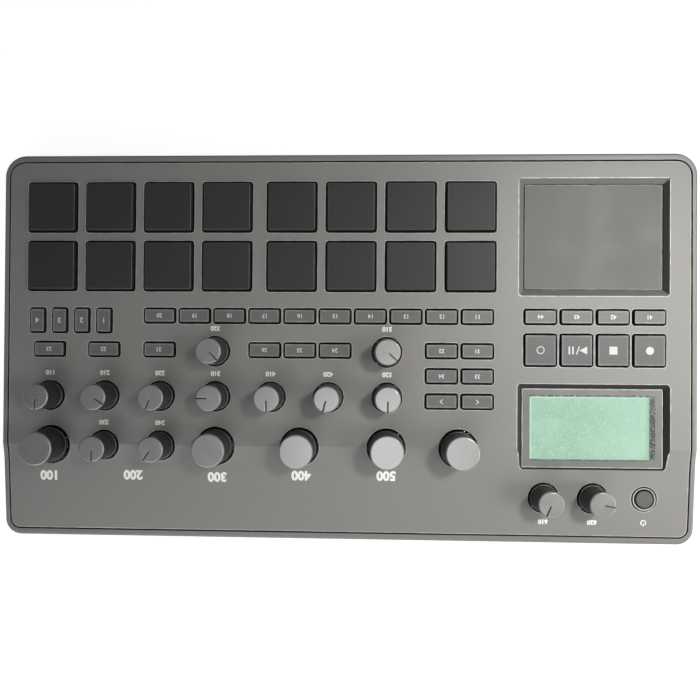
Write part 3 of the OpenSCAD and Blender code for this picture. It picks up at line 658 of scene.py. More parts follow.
METAL = Finish(
    "plated_metal", "control_metal", (0.55, 0.54, 0.52), 0.3, metallic=1.0, grain_scale=3000.0,
    grain_spread=0.12, cloud_scale=120.0, cloud_spread=0.15, worn=(0.8, 0.8, 0.78), wear=0.4,
)
SPRING = Finish(
    "contact_spring", "contact_metal", (0.62, 0.6, 0.55), 0.24, metallic=1.0, grain_scale=4000.0,
    cloud_scale=200.0, cloud_spread=0.18,
)
PRINT = Finish(
    "white_print", "panel_metal", (0.8, 0.8, 0.78), 0.5, grain_scale=5200.0, grain_spread=0.06,
    cloud_spread=0.05, bump=0.000004,
)
SIGN_PRINT = replace(PRINT, name="sign_print", slot="key_plastic", colour=(0.52, 0.52, 0.51))
KEY_PRINT = replace(
    SIGN_PRINT, name="key_print", colour=(0.56, 0.57, 0.56), grain_spread=0.1, cloud_scale=300.0,
    cloud_spread=0.2,
)
BOARD = BoardFinish("board_lacquer", "board_green", (0.015, 0.1, 0.035), 0.32, bump=0.000008)
CLEAR_RING = ClearFinish(
    "clear_ring_plastic", "clear_ring", (0.55, 0.56, 0.56), 0.06, grain_spread=0.02, cloud_spread=0.02,
    roughness_spread=0.04, bump=0.000002,
)


# --- Shaping ---


# Cosines of a face's tilt: how level it is, at least, to count as what the name says, or at most for a wall.
ROOF_COS = 0.8
LEVEL_COS = 0.9
TOP_COS = 0.95
FLAT_COS = 0.99
SQUARE_COS = 0.999
WALL_COS = 0.2
SLOPE_COS = (0.65, 0.93)
CREASE_DEG = 33.0
LEVEL_CREASE_DEG = 6.0
SAME_PLANE_DEG = 0.5
WELD = 0.000002
SAME_HEIGHT = 0.00005
ROW_HEIGHT = 0.003
NORMAL_WEIGHT = 80


@dataclass(frozen=True)
class PanelFrame:
    """The sloping panel's own frame: x to the right, v up the slope, h above its face."""

    tilt: float = math.radians(3.6)
    face_z: float = 0.0278139

    @cache
    def matrix(self) -> Matrix:
        """The turn and shift from the panel's frame to the model's."""
        return Matrix.Translation((0.0, 0.0, self.face_z)) @ Matrix.Rotation(self.tilt, 4, "X")

    @cache
    def inverse(self) -> Matrix:
        """The turn and shift from the model's frame to the panel's."""
        return self.matrix().inverted()

    def local(self, point: Vector) -> Vector:
        """A point of the model in the panel's frame."""
        return self.inverse() @ point

    def spot(self, x: float, v: float) -> Vector:
        """The model's point at a place on the panel's face."""
        return self.matrix() @ Vector((x, v, 0.0))

    @cache
    def up(self) -> Vector:
        """The direction away from the panel's face."""
        return self.matrix().to_3x3() @ Vector((0.0, 0.0, 1.0))


PANEL_FRAME = PanelFrame()


def add_object(name: str, data: ID | None) -> Object:
    """Adds an object to the scene.

    Args:
        name: The object's name.
        data: Its mesh, lamp, camera or text.

    Returns:
        The new object.
    """
    made = bpy.data.objects.new(name, data)
    bpy.context.scene.collection.objects.link(made)
    return made


def merged(node: str) -> BMesh:
    """A node's shape with its loose triangles joined into clean faces.

    Args:
        node: The CAD node's name.

    Returns:
        A new mesh, which the caller frees.
    """
    shape = bmesh.new()
    shape.from_mesh(frame["nodes"][node].data)
    bmesh.ops.remove_doubles(shape, verts=shape.verts, dist=WELD)
    bmesh.ops.dissolve_degenerate(shape, dist=WELD / 2, edges=shape.edges)
    limit, edges = math.radians(SAME_PLANE_DEG), shape.edges
    bmesh.ops.dissolve_limit(shape, angle_limit=limit, verts=shape.verts, edges=edges, delimit={"NORMAL"})
    return shape


def is_crease(edge: BMEdge) -> bool:
    """Whether an edge is a real edge of the part, and not a line across a curved face.

    Args:
        edge: An edge of a merged shape.

    Returns:
        True for such an edge.
    """
    if not edge.is_manifold:
        return False
    bend = math.degrees(edge.calc_face_angle(0.0))
    is_level = all(face.normal.z > LEVEL_COS for face in edge.link_faces)
    return bend > CREASE_DEG or (is_level and bend > LEVEL_CREASE_DEG)


def is_rim(edge: BMEdge) -> bool:
    """Whether an edge is where the top of a plate ends in a wall or in a slope that leads down.

    Args:
        edge: An edge of a merged shape.

    Returns:
        True for such a rim.
    """
    if not edge.is_manifold or not edge.is_convex:
        return False
    low, high = sorted(face.normal.z for face in edge.link_faces)
    is_wall = high > TOP_COS and abs(low) < WALL_COS
    return is_wall or high > FLAT_COS and SLOPE_COS[0] < low < SLOPE_COS[1]


def round_edges(shape: BMesh, radius: float, steps: int, rim: float = 0.0) -> None:
    """Rounds a shape's real edges and marks the new faces in the edge layer.

    Args:
        shape: The mesh.
        radius: How far back from an edge the rounding starts, in metres, where there is room.
        steps: Faces across the rounding.
        rim: The same distance for the rims of openings, which always have room, or 0 for none.
    """
    layers = shape.faces.layers.float
    layer = layers.get(EDGE_LAYER) or layers.new(EDGE_LAYER)
    for face in shape.faces:
        face.tag = False
    passes = [(rim, is_rim, False)] if rim else []
    for offset, chosen, is_held in [*passes, (radius, is_crease, True)]:
        sharp = [
            edge for edge in shape.edges if chosen(edge) and not any(face.tag for face in edge.link_faces)
        ]
        rounded = bmesh.ops.bevel(
            shape, geom=sharp, offset=offset, offset_type="OFFSET", segments=steps, profile=0.5,
            affect="EDGES", clamp_overlap=is_held, material=-1,
        )
        shape.normal_update()
        for face in rounded["faces"]:
            face.tag = True
            face[layer] = 0.0 if face.normal.z > FLAT_COS else 1.0
    bmesh.ops.triangulate(shape, faces=[face for face in shape.faces if len(face.verts) > 4])


def finish_piece(
    name: str, shape: BMesh, body: str, finishes: list[Finish], choose: Chooser | None = None
) -> Object:
    """Turns a shape into a piece that rides on a body.

    Args:
        name: The piece's name.
        shape: Its mesh, which is freed.
        body: The CAD body that it rides on.
        finishes: Its materials, the main one first.
        choose: Gives a face's material from its middle and its normal.

    Returns:
        The new piece.
    """
    shape.normal_update()
    for face in shape.faces:
        face.smooth = True
        if choose:
            face.material_index = choose(face.calc_center_median(), face.normal)
    mesh = bpy.data.meshes.new(name)
    shape.to_mesh(mesh)
    shape.free()
    mesh.set_sharp_from_angle(angle=math.radians(CREASE_DEG))
    for finish in finishes:
        mesh.materials.append(finish.build())
    piece = add_object(name, mesh)
    even = piece.modifiers.new("even_normals", "WEIGHTED_NORMAL")
    even.keep_sharp = True
    even.weight = NORMAL_WEIGHT
    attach(piece, body)
    log.info("%s: %d faces on %s", name, len(mesh.polygons), body)
    return piece


def soften(
    node: str, radius: float, finishes: list[Finish], choose: Chooser | None = None, steps: int = 2,
    rim: float = 0.0,
) -> Object:
    """Stands a copy of a CAD node with rounded edges in the node's place.

    Args:
        node: The CAD node's name.
        radius: How far back from an edge the rounding starts, in metres.
        finishes: Its materials, the main one first.
        choose: Gives a face's material from its middle and its normal.
        steps: Faces across the rounding.
        rim: How far back the rounding of the rims of openings starts, or 0 for none.

    Returns:
        The new piece.
    """
    shape = merged(node)
    round_edges(shape, radius, steps, rim)
    piece = finish_piece(f"{node}_skin", shape, body_of(node), finishes, choose)
    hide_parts(node)
    return piece


def body_of(node: str) -> str:
    """The body that carries a CAD node."""
    bodies = frame["record"]["behaviour"]["bodies"]
    return next(body for body, members in bodies.items() if node in members)


def dress(node: str, finish: Finish) -> None:
    """Gives a CAD node that stays as it is its finish.

    Args:
        node: The CAD node's name.
        finish: Its finish, which goes in all its slots.
    """
    for slot in frame["nodes"][node].material_slots:
        slot.material = finish.build()
    log.info("%s: kept, with %s", node, finish.name)


def centre_of(node: str) -> Vector:
    """The middle of a CAD node in the panel's frame."""
    low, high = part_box(node)
    return PANEL_FRAME.local((low + high) / 2)


def limits(points: list[Vector]) -> tuple[Vector, Vector]:
    """The low and the high corner of the box round some points."""
    axes = list(zip(*points))
    return Vector([min(values) for values in axes]), Vector([max(values) for values in axes])


def top_faces(node: str) -> list[Vector]:
    """The middles of a node's highest faces, such as its key tops, in the panel's frame.

    Args:
        node: The CAD node's name.

    Returns:
        One point for each separate face, from the player's left to right, the front row first.
    """
    shape = merged(node)
    level = [face for face in shape.faces if face.normal.dot(PANEL_FRAME.up()) > SQUARE_COS]
    heights = {face: PANEL_FRAME.local(face.calc_center_median()).z for face in level}
    highest = max(heights.values())
    tops = [face for face in level if heights[face] > highest - SAME_HEIGHT]
    found = []
    while tops:
        group = [tops.pop()]
        for face in group:
            near = {other for edge in face.edges for other in edge.link_faces}
            joined = [other for other in tops if other in near]
            group.extend(joined)
            tops = [other for other in tops if other not in joined]
        low, high = limits([PANEL_FRAME.local(vert.co) for face in group for vert in face.verts])
        found.append((low + high) / 2)
    shape.free()
    return sorted(found, key=lambda point: (round(point.y / ROW_HEIGHT), point.x))


# --- Printed marks ---


class Sign(Enum):
    """Generic marks that are drawn, not typed."""

    PLAY = "play"
    STOP = "stop"
    RECORD = "record"
    RING = "ring"
    POWER = "power"
    LESS = "less"
    MORE = "more"


@dataclass
class Marks:
    """Draws flat printed marks as thin solids, centred on the origin, with the reader at -Y."""

    thickness: float = 0.00003
    stroke: float = 0.00045
    digit_share: float = 0.7
    digit_join: float = 0.0001

    def solid(self, shape: BMesh) -> BMesh:
        """Gives flat faces at z 0 the thickness of print, upwards.

        Args:
            shape: The flat faces, which are changed.

        Returns:
            The same mesh, now a thin solid.
        """
        bmesh.ops.recalc_face_normals(shape, faces=shape.faces)
        if sum(face.normal.z * face.calc_area() for face in shape.faces) < 0:
            bmesh.ops.reverse_faces(shape, faces=shape.faces)
        raised = bmesh.ops.extrude_face_region(shape, geom=list(shape.faces), use_keep_orig=True)
        verts = [item for item in raised["geom"] if isinstance(item, BMVert)]
        bmesh.ops.translate(shape, verts=verts, vec=(0.0, 0.0, self.thickness))
        bmesh.ops.remove_doubles(shape, verts=shape.verts, dist=WELD / 2)
        bmesh.ops.recalc_face_normals(shape, faces=shape.faces)
        return shape

    def bar(self, shape: BMesh, start: Vector, end: Vector, width: float) -> None:
        """Adds a straight stroke between two points.

        Args:
            shape: The mesh that it is added to.
            start: The middle of one end.
            end: The middle of the other end.
            width: How wide the stroke is, in metres.
        """
        along = end - start
        turn = Matrix.Rotation(math.atan2(along.y, along.x), 4, "Z")
        size = Matrix.Diagonal((along.length, width, 1.0, 1.0))
        place = Matrix.Translation((start + end) / 2) @ turn @ size
        bmesh.ops.create_grid(shape, x_segments=1, y_segments=1, size=0.5, matrix=place)

    def arc(self, shape: BMesh, radius: float, width: float, start: float, end: float) -> None:
        """Adds a curved stroke round the origin, between two angles in radians.

        Args:
            shape: The mesh that it is added to.
            radius: The radius of its middle line, in metres.
            width: How wide the stroke is, in metres.
            start: The angle where it starts.
            end: The angle where it ends.
        """
        first = shape.verts.new((radius - width / 2, 0.0, 0.0))
        second = shape.verts.new((radius + width / 2, 0.0, 0.0))
        line = shape.edges.new((first, second))
        bmesh.ops.rotate(shape, verts=[first, second], matrix=Matrix.Rotation(start, 3, "Z"))
        bmesh.ops.spin(
            shape, geom=[first, second, line], cent=(0.0, 0.0, 0.0), axis=(0.0, 0.0, 1.0),
            angle=end - start, steps=28, use_duplicate=False,
            use_merge=math.isclose(end - start, 2 * math.pi),
        )

    def sign(self, kind: Sign, size: float) -> BMesh:
        """Draws one sign.

        Args:
            kind: Which sign it is.
            size: Its height in metres.

        Returns:
            The sign as a thin solid.
        """
        shape = bmesh.new()
        half = size / 2
        turn = Matrix.Identity(4)
        if kind is Sign.STOP:
            bmesh.ops.create_grid(shape, x_segments=1, y_segments=1, size=half)
        elif kind is Sign.RECORD:
            bmesh.ops.create_circle(shape, cap_ends=True, segments=32, radius=half)
        elif kind is Sign.RING:
            self.arc(shape, half - self.stroke / 2, self.stroke, 0.0, 2 * math.pi)
        elif kind is Sign.POWER:
            gap = math.radians(32.0)
            quarter = math.pi / 2
            self.arc(shape, half - self.stroke / 2, self.stroke, quarter + gap, quarter + 2 * math.pi - gap)
            self.bar(shape, Vector((0.0, 0.1 * size, 0.0)), Vector((0.0, 0.6 * size, 0.0)), self.stroke)
        elif kind is Sign.PLAY:
            self.play_and_pause(shape, size)
        else:
            turn = Matrix.Rotation(math.pi if kind is Sign.MORE else 0.0, 4, "Z")
            tip = Vector((-0.3 * size, 0.0, 0.0))
            for side in (-1.0, 1.0):
                tail = Vector((0.3 * size, side * half, 0.0))
                self.bar(shape, tip + (tip - tail) * 0.08, tail, self.stroke)
        bmesh.ops.transform(shape, matrix=turn, verts=shape.verts)
        return self.solid(shape)

    def play_and_pause(self, shape: BMesh, size: float) -> None:
        """Adds a triangle, a slash and two bars in a row.

        Args:
            shape: The empty mesh that they are added to.
            size: Their height in metres.
        """
        half = size / 2
        place = Matrix.Translation((-0.95 * size, 0.0, 0.0))
        turn = Matrix.Rotation(-math.pi / 2, 3, "Z")
        bmesh.ops.create_circle(shape, cap_ends=True, segments=3, radius=1.15 * half, matrix=place)
        triangle = list(shape.verts)
        bmesh.ops.rotate(shape, verts=triangle, cent=place.translation, matrix=turn)
        bmesh.ops.scale(shape, verts=triangle, vec=(1.15, 1.0, 1.0), space=place.inverted())
        for low, high, width in ((-0.3, 0.05, 1.1), (0.5, 0.5, 1.6), (0.95, 0.95, 1.6)):
            start, end = Vector((low * size, -half, 0.0)), Vector((high * size, half, 0.0))
            self.bar(shape, start, end, width * self.stroke)

    def number(self, text: str, height: float, bold: float) -> BMesh:
        """Writes a plain number.

        Args:
            text: The digits.
            height: How tall they are, in metres.
            bold: How much each stroke is widened, in metres.

        Returns:
            The number as a thin solid.
        """
        curve = bpy.data.curves.new("number", "FONT")
        curve.body = text
        curve.resolution_u = 3
        curve.fill_mode = "FRONT"
        curve.offset = bold / height * self.digit_share
        holder = add_object("number", curve)
        bpy.context.view_layer.update()
        flat = bpy.data.meshes.new_from_object(holder.evaluated_get(bpy.context.evaluated_depsgraph_get()))
        shape = bmesh.new()
        shape.from_mesh(flat)
        bpy.data.batch_remove((holder, curve, flat))
        bmesh.ops.remove_doubles(shape, verts=shape.verts, dist=self.digit_join)
        low, high = limits([vert.co for vert in shape.verts])
        scale = height / (high.y - low.y)
        bmesh.ops.translate(shape, verts=shape.verts, vec=-(low + high) / 2)
        bmesh.ops.scale(shape, verts=shape.verts, vec=(scale, scale, 1.0))
        return self.solid(shape)


class Sheet:
    """Collects marks on one body and lays each on the surface under it."""

    clear_z = 0.2

    def __init__(self, name: str, body: str, carrier: Object, finish: Finish) -> None:
        """Starts an empty set of marks.

        Args:
            name: The name of the piece that the marks become.
            body: The body that they ride on.
            carrier: The piece that they are printed on.
            finish: The ink.
        """
        self.name = name
        self.body = body
        self.finish = finish
        self.shape = bmesh.new()
        surface = bmesh.new()
        surface.from_mesh(carrier.data)
        self.tree = BVHTree.FromBMesh(surface)
        surface.free()

    def landing(self, above: Vector) -> Matrix:
        """The place on the carrier under a point, turned to lie on it.

        Args:
            above: A point of the model, of which only x and y count.

        Returns:
            The turn and shift from the mark's own frame to the carrier.
        """
        start = Vector((above.x, above.y, self.clear_z))
        point, normal, _, _ = self.tree.ray_cast(start, Vector((0.0, 0.0, -1.0)))
        right = Vector((0.0, 1.0, 0.0)).cross(normal).normalized()
        ahead = normal.cross(right)
        turn = Matrix((right, ahead, normal)).transposed().to_4x4()
        return Matrix.Translation(point) @ turn

    def lay(self, mark: BMesh, place: Vector) -> None:
        """Lays a mark on the carrier at a place seen from above, and frees it.

        Args:
            mark: The mark, centred on the origin.
            place: The point that it goes to, of which only x and y count.
        """
        bmesh.ops.transform(mark, matrix=self.landing(place), verts=mark.verts)
        flat = bpy.data.meshes.new("mark")
        mark.to_mesh(flat)
        mark.free()
        self.shape.from_mesh(flat)
        bpy.data.meshes.remove(flat)

    def finish_sheet(self) -> Object:
        """Makes one piece of all the marks."""
        return finish_piece(self.name, self.shape, self.body, [self.finish])


MARKS = Marks()


# --- Sub-assemblies ---

KNOB_NUMBERS = {
    "ifx_edit": 110, "decay": 210, "attack": 220, "depth": 310, "eg_int": 410, "resonance": 420, "pitch": 520,
    "pan": 230, "level": 240, "speed": 320, "oscillator_edit": 510, "input_level": 610, "volume": 620,
}


class PanelPaint(IntEnum):
    """The panel's materials, in the order of its slots."""

    PAINT = 0
    # The last three slots are painted shade: on walls and underside, on the display recess's slopes and one
    # slope of the touch recess, and on the touch recess's other slopes.
    BARE = 1
    GASKET = 2
    RECESS = 3


@dataclass
class Shells:
    """The metal panel, the two halves of the case, the battery door, the feet and the screws."""

    panel_edge: float = 0.0003
    opening_edge: float = 0.0005
    rim_edge: float = 0.0004
    case_edge: float = 0.0004
    door_edge: float = 0.0003
    foot_edge: float = 0.0004
    screw_edge: float = 0.00008
    # Where the recesses' painted shade goes: how far round each recess, and which tilts of face take it.
    recess_reach: float = 0.0045
    recess_cos: float = 0.6
    recess_lip_cos: float = 0.84
    side_cos: float = 0.3
    rim_cos: float = 0.35
    strip_z: float = 0.03005
    recesses: list[tuple[PanelPaint, float, Vector, Vector]] = field(default_factory=list)
    top_panel: Object | None = None

    def build(self) -> None:
        """Builds every shell."""
        recesses = ((PanelPaint.GASKET, 0.94, "display_window"), (PanelPaint.RECESS, 0.96, "touch_plate"))
        for paint, flattest, node in recesses:
            self.recesses.append((paint, flattest, *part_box(node)))
        paints = [PANEL, GAP_SHADE, GASKET, RECESS]
        self.top_panel = soften("top_panel", self.panel_edge, paints, self.panel_paint, 3, self.opening_edge)
        soften("upper_case", self.rim_edge, [RIM, CASE], self.upper_case_paint)
        soften("bottom_case", self.case_edge, [CASE])
        soften("battery_door", self.door_edge, [CASE])
        soften("rubber_feet", self.foot_edge, [RUBBER_FOOT])
        soften("screws", self.screw_edge, [SCREW])

    def panel_paint(self, middle: Vector, normal: Vector) -> int:
        """The panel is painted on top; its walls, its underside and its two recesses carry painted shade.

        Args:
            middle: The face's middle.
            normal: The face's normal.

        Returns:
            The slot of the face's material.
        """
        for paint, flattest, low, high in self.recesses:
            sides = (middle.x - low.x, high.x - middle.x, middle.y - low.y, high.y - middle.y)
            if self.recess_cos < normal.z < flattest and min(sides) > -self.recess_reach:
                if normal.z < self.recess_lip_cos and paint is PanelPaint.RECESS:
                    return PanelPaint.BARE
                return PanelPaint.GASKET if normal.x > self.side_cos else paint
        return PanelPaint.PAINT if normal.z > ROOF_COS else PanelPaint.BARE

    def upper_case_paint(self, middle: Vector, normal: Vector) -> int:
        """The upper case is painted on its rim and outside, and bare inside.

        Args:
            middle: The face's middle.
            normal: The face's normal.

        Returns:
            The slot of the face's material.
        """
        if normal.z > self.rim_cos:
            top = min(PANEL_FRAME.face_z + middle.y * math.tan(PANEL_FRAME.tilt), self.strip_z)
            return 0 if middle.z > top - MM else 1
        outward = middle.x * normal.x + middle.y * normal.y
        return 0 if outward > 0 and normal.z > -0.5 else 1


@dataclass
class PadField:
    """The sixteen rubber pads."""

    count: int = 16
    edge: float = 0.0005

    def build(self) -> None:
        """Builds every pad."""
        for index in range(1, self.count + 1):
            soften(f"pad_{index:02d}", self.edge, [PAD, PAD_FLANK_SHADE], self.top_or_flank, steps=3)

    def top_or_flank(self, middle: Vector, normal: Vector) -> int:
        """Satin rubber on top, with near-black painted shade on the flanks."""
        return 0 if normal.dot(PANEL_FRAME.up()) > ROOF_COS else 1


@dataclass
class KeyField:
    """The push keys with their printed numbers and signs."""

    edge: float = 0.00042
    border: float = 0.00025
    border_shares: tuple[float, ...] = (1.0, 0.66, 0.33)
    border_wear: float = 0.42
    dish_depth: float = 0.000022
    number_height: float = 0.0026
    small_height: float = 0.0021
    sign_height: float = 0.0038
    bold: float = 0.00008
    strips: tuple[tuple[str, range], ...] = (
        ("step_keys", range(11, 21)), ("effect_keys", range(21, 24)), ("filter_keys", range(24, 27)),
        ("touch_keys", range(41, 45)),
    )
    signs: tuple[tuple[str, Sign], ...] = (
        ("tap_key", Sign.RING), ("play_key", Sign.PLAY), ("stop_key", Sign.STOP), ("record_key", Sign.RECORD),
    )

    def build(self) -> None:
        """Builds every key."""
        for node, numbers in self.strips:
            self.marked(node, "numbers", numbers, self.small_height)
        self.marked("number_keys", "numbers", range(1, 5), self.number_height)
        self.marked("menu_keys", "marks", (*range(31, 35), Sign.LESS, Sign.MORE), self.small_height)
        for node, sign in self.signs:
            self.marked(node, "sign", (sign,), self.sign_height, TRANSPORT_KEY, SIGN_PRINT)

    def marked(
        self, node: str, suffix: str, labels: Iterable[int | Sign], height: float, finish: Finish = KEY,
        ink: Finish = KEY_PRINT,
    ) -> None:
        """Builds a moulding of keys and prints a label on each of its tops.

        Args:
            node: The CAD node's name.
            suffix: What the name of the piece of print ends in.
            labels: Numbers or signs, from the player's left to right, the front row first.
            height: How tall they are, in metres.
            finish: The keys' finish.
            ink: The print's finish.
        """
        sheet = Sheet(f"{node}_{suffix}", body_of(node), self.key(node, finish), ink)
        for label, top in zip(labels, top_faces(node)):
            if isinstance(label, Sign):
                mark = MARKS.sign(label, height)
            else:
                mark = MARKS.number(str(label), height, self.bold)
            sheet.lay(mark, PANEL_FRAME.matrix() @ top)
        sheet.finish_sheet()

    def key(self, node: str, finish: Finish) -> Object:
        """Builds one moulding of keys: satin on top, with near-black painted shade on the sides and below.

        Args:
            node: The CAD node's name.
            finish: The finish of its tops.

        Returns:
            The new piece.
        """

        def top_or_skirt(middle: Vector, normal: Vector) -> int:
            """Satin on what faces up and stands above the panel, painted shade elsewhere."""
            rises = normal.dot(PANEL_FRAME.up()) > ROOF_COS
            return 0 if rises and PANEL_FRAME.local(middle).z > 0 else 1

        shape = merged(node)
        self.dish(shape)
        round_edges(shape, self.edge, 3)
        piece = finish_piece(f"{node}_skin", shape, body_of(node), [finish, KEY_SIDE_SHADE], top_or_skirt)
        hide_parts(node)
        return piece

    def dish(self, shape: BMesh) -> None:
        """Sinks each key top in steps, which leaves a sloped border that is palest at its outside: rubbed
        wear with a painted highlight.

        Args:
            shape: The moulding's merged shape, which is changed.
        """
        layer = shape.faces.layers.float.new(EDGE_LAYER)
        level = [face for face in shape.faces if face.normal.dot(PANEL_FRAME.up()) > SQUARE_COS]
        tops = [face for face in level if PANEL_FRAME.local(face.calc_center_median()).z > 0]
        for share in self.border_shares:
            ring = bmesh.ops.inset_individual(
                shape, faces=tops, thickness=self.border, depth=-self.dish_depth * share, use_even_offset=True
            )
            # The border turns pale: rubbed wear with a painted highlight.
            for face in ring["faces"]:
                face[layer] = self.border_wear * share
        shape.normal_update()


@dataclass
class Controls:
    """The small knobs with a pointer, the large dials and the clear rings under them."""

    dials: tuple[str, ...] = ("insert", "modulation", "filter", "oscillator", "main")
    edge: float = 0.0001
    groove: float = 0.0003
    bevel: float = 0.0009
    bevel_cos: float = 0.3
    ring_edge: float = 0.00012
    power_edge: float = 0.0002
    power_reach: float = 0.008

    def build(self) -> None:
        """Builds every knob, dial and ring."""
        for name in KNOB_NUMBERS:
            self.cap(f"{name}_knob")
        for name in self.dials:
            self.cap(f"{name}_dial")
        self.rings()

    def cap(self, node: str) -> None:
        """Builds one cap: a metal face, a satin bevel, and a black side and pointer's floor.

        Args:
            node: The CAD node's name.
        """
        highest = max(PANEL_FRAME.local(vert.co).z for vert in frame["nodes"][node].data.vertices)

        def face_or_side(middle: Vector, normal: Vector) -> int:
            """Metal on the face and satin on its bevel.

            Args:
                middle: The face's middle.
                normal: The face's normal.

            Returns:
                The slot of the face's material.
            """
            depth = highest - PANEL_FRAME.local(middle).z
            rises = normal.dot(PANEL_FRAME.up())
            if rises > LEVEL_COS:
                return 1 if depth < self.groove else 0
            return 2 if rises > self.bevel_cos and depth < self.bevel else 0

        soften(node, self.edge, [KNOB_SIDE, KNOB_FACE, KNOB_RIM], face_or_side)

    def rings(self) -> None:
        """Splits the rings: the one round the power key has a pale band with near-black painted shade round
        it, those under the dials are clear.
        """
        power = centre_of("power_key")
        middle = tuple(PANEL_FRAME.matrix() @ power)
        # Painted shade: the ring is near black outside its pale band, standing in for the shade in the gap
        # round it.
        power_ring = DiscFinish(
            "power_ring_band_and_painted_shade", "clear_ring", (0.012, 0.012, 0.012), 0.4, grain_spread=0.05, bump=0.000004,
            centre=middle, outer=0.0054, disc=(0.4, 0.4, 0.39),
        )
        # Painted shade: the key is near black round its dark grey middle, standing in for the shade in the
        # gap round it.
        power_key = DiscFinish(
            "power_key_with_painted_shade_rim", "key_plastic", (0.01, 0.01, 0.01), 0.5, grain_scale=3400.0,
            grain_spread=0.25, bump=0.000012, centre=middle, outer=0.0038, disc=(0.08, 0.079, 0.077),
        )
        soften("power_key", self.power_edge, [power_key])
        for name, finish, is_power in (("power_ring", power_ring, True), ("dial_rings", CLEAR_RING, False)):
            shape = merged("bezel_rings")
            outside = []
            for face in shape.faces:
                place = PANEL_FRAME.local(face.calc_center_median())
                is_near = math.hypot(place.x - power.x, place.y - power.y) < self.power_reach
                if is_near is not is_power:
                    outside.append(face)
            bmesh.ops.delete(shape, geom=outside, context="FACES")
            round_edges(shape, self.ring_edge, 2)
            piece = finish_piece(name, shape, CHASSIS, [finish])
            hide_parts("bezel_rings")


@dataclass
class Display:
    """The display window with its printed border, and the lit screen under it."""

    field_low: Pair = (-0.1473, 0.0229)
    field_high: Pair = (-0.0903, 0.0532)
    parallax: Pair = (0.0034, 0.0018)
    deep: float = 0.1
    edge: float = 0.0003

    def build(self) -> None:
        """Builds the window and dresses the screen."""
        low, high = Vector(self.field_low), Vector(self.field_high)
        centre = PANEL_FRAME.spot(*(low + high) / 2)
        shift = Vector(self.parallax) / 2
        # The border's pale edge colour is a painted highlight along the window's rounded edges.
        border = BorderFinish(
            "window_border", "window_clear", (0.15, 0.152, 0.146), 0.42, grain_spread=0.15, cloud_scale=90.0,
            cloud_spread=0.5, worn=(0.66, 0.66, 0.64), wear=1.0,
            centre=tuple(centre), half=(*(high - low) / 2, self.deep),
        )
        glass = ClearFinish(
            "window_glass", "window_clear", (0.97, 1.0, 0.98), 0.05, grain_spread=0.0, cloud_spread=0.0,
            roughness_spread=0.06, bump=0.0000002,
        )
        screen = ScreenFinish(
            "screen", "display_glass", (0.02, 0.024, 0.022), 0.3,
            centre=(centre.x - shift.x, centre.y + shift.y, 0.0), half=(*(high - low) / 2 + shift, self.deep),
        )
        self.window(border, glass)
        dress("display_module", screen)

    def window(self, border: Finish, glass: Finish) -> None:
        """Cuts the window's faces along the lit field and prints the border outside it.

        Args:
            border: The finish of the printed part.
            glass: The finish of the clear part.
        """
        shape = merged("display_window")
        round_edges(shape, self.edge, 2)
        to_model = PANEL_FRAME.matrix()
        low, high = self.field_low, self.field_high
        for direction, places in zip((Vector((1.0, 0.0, 0.0)), Vector((0.0, 1.0, 0.0))), zip(low, high)):
            for place in places:
                bmesh.ops.bisect_plane(
                    shape, geom=[*shape.verts, *shape.edges, *shape.faces], dist=WELD / 20,
                    plane_co=to_model @ (direction * place), plane_no=to_model.to_3x3() @ direction,
                )

        def printed(middle: Vector, normal: Vector) -> int:
            """Clear over the lit field and on the underside, printed elsewhere.

            Args:
                middle: The face's middle.
                normal: The face's normal.

            Returns:
                The slot of the face's material.
            """
            place = PANEL_FRAME.local(middle)
            over = low[0] < place.x < high[0] and low[1] < place.y < high[1]
            return 1 if over or normal.z < -0.5 else 0

        piece = finish_piece("display_window_skin", shape, CHASSIS, [border, glass], printed)
        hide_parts("display_window")


@dataclass
class Small:
    """The touch plate, the rear sockets and what is inside the case."""

    touch_edge: float = 0.0006
    socket_edge: float = 0.00015

    def build(self) -> None:
        """Builds or dresses each."""
        soften("touch_plate", self.touch_edge, [TOUCH, GAP_SHADE], self.top_or_side, steps=3)
        soften("rear_sockets", self.socket_edge, [SOCKET])
        dress("panel_board", BOARD)
        dress("main_board", BOARD)
        dress("control_bodies", METAL)
        dress("battery_contacts", SPRING)

    def top_or_side(self, middle: Vector, normal: Vector) -> int:
        """Film on top, with near-black painted shade on the sides."""
        return 0 if normal.z > ROOF_COS else 1


@dataclass
class PanelPrint:
    """Plain numbers on the panel: hundreds for its sections, and tens within them for their knobs."""

    sections_mm: tuple[tuple[int, float, float], ...] = (
        (100, 146.7, 64.2), (200, 104.2, 63.6), (300, 62.3, 64.1), (400, 20.7, 62.9), (500, -20.9, 62.5),
    )
    knob_step: float = 0.0113
    rear_step: float = 0.0118
    small: float = 0.0025
    large: float = 0.005
    bold: float = 0.00017
    power_size: float = 0.0028

    def build(self, panel: Object) -> None:
        """Prints the panel.

        Args:
            panel: The piece that carries the print.
        """
        sheet = Sheet("panel_print", CHASSIS, panel, PRINT)
        for name, number in KNOB_NUMBERS.items():
            place = centre_of(f"{name}_knob")
            step = self.rear_step if name in ("input_level", "volume") else -self.knob_step
            mark = MARKS.number(str(number), self.small, self.bold)
            sheet.lay(mark, PANEL_FRAME.spot(place.x, place.y + step))
        for number, x, v in self.sections_mm:
            mark = MARKS.number(str(number), self.large, 2 * self.bold)
            sheet.lay(mark, PANEL_FRAME.spot(x * MM, v * MM))
        place = centre_of("power_key")
        mark = MARKS.sign(Sign.POWER, self.power_size)
        sheet.lay(mark, PANEL_FRAME.spot(place.x, place.y + self.rear_step))
        sheet.finish_sheet()


# --- Studio ---

DAYLIGHT: Triple = (1.0, 0.985, 0.955)
SKYLIGHT: Triple = (0.98, 0.99, 1.0)
WHITE: Triple = (1.0, 1.0, 1.0)


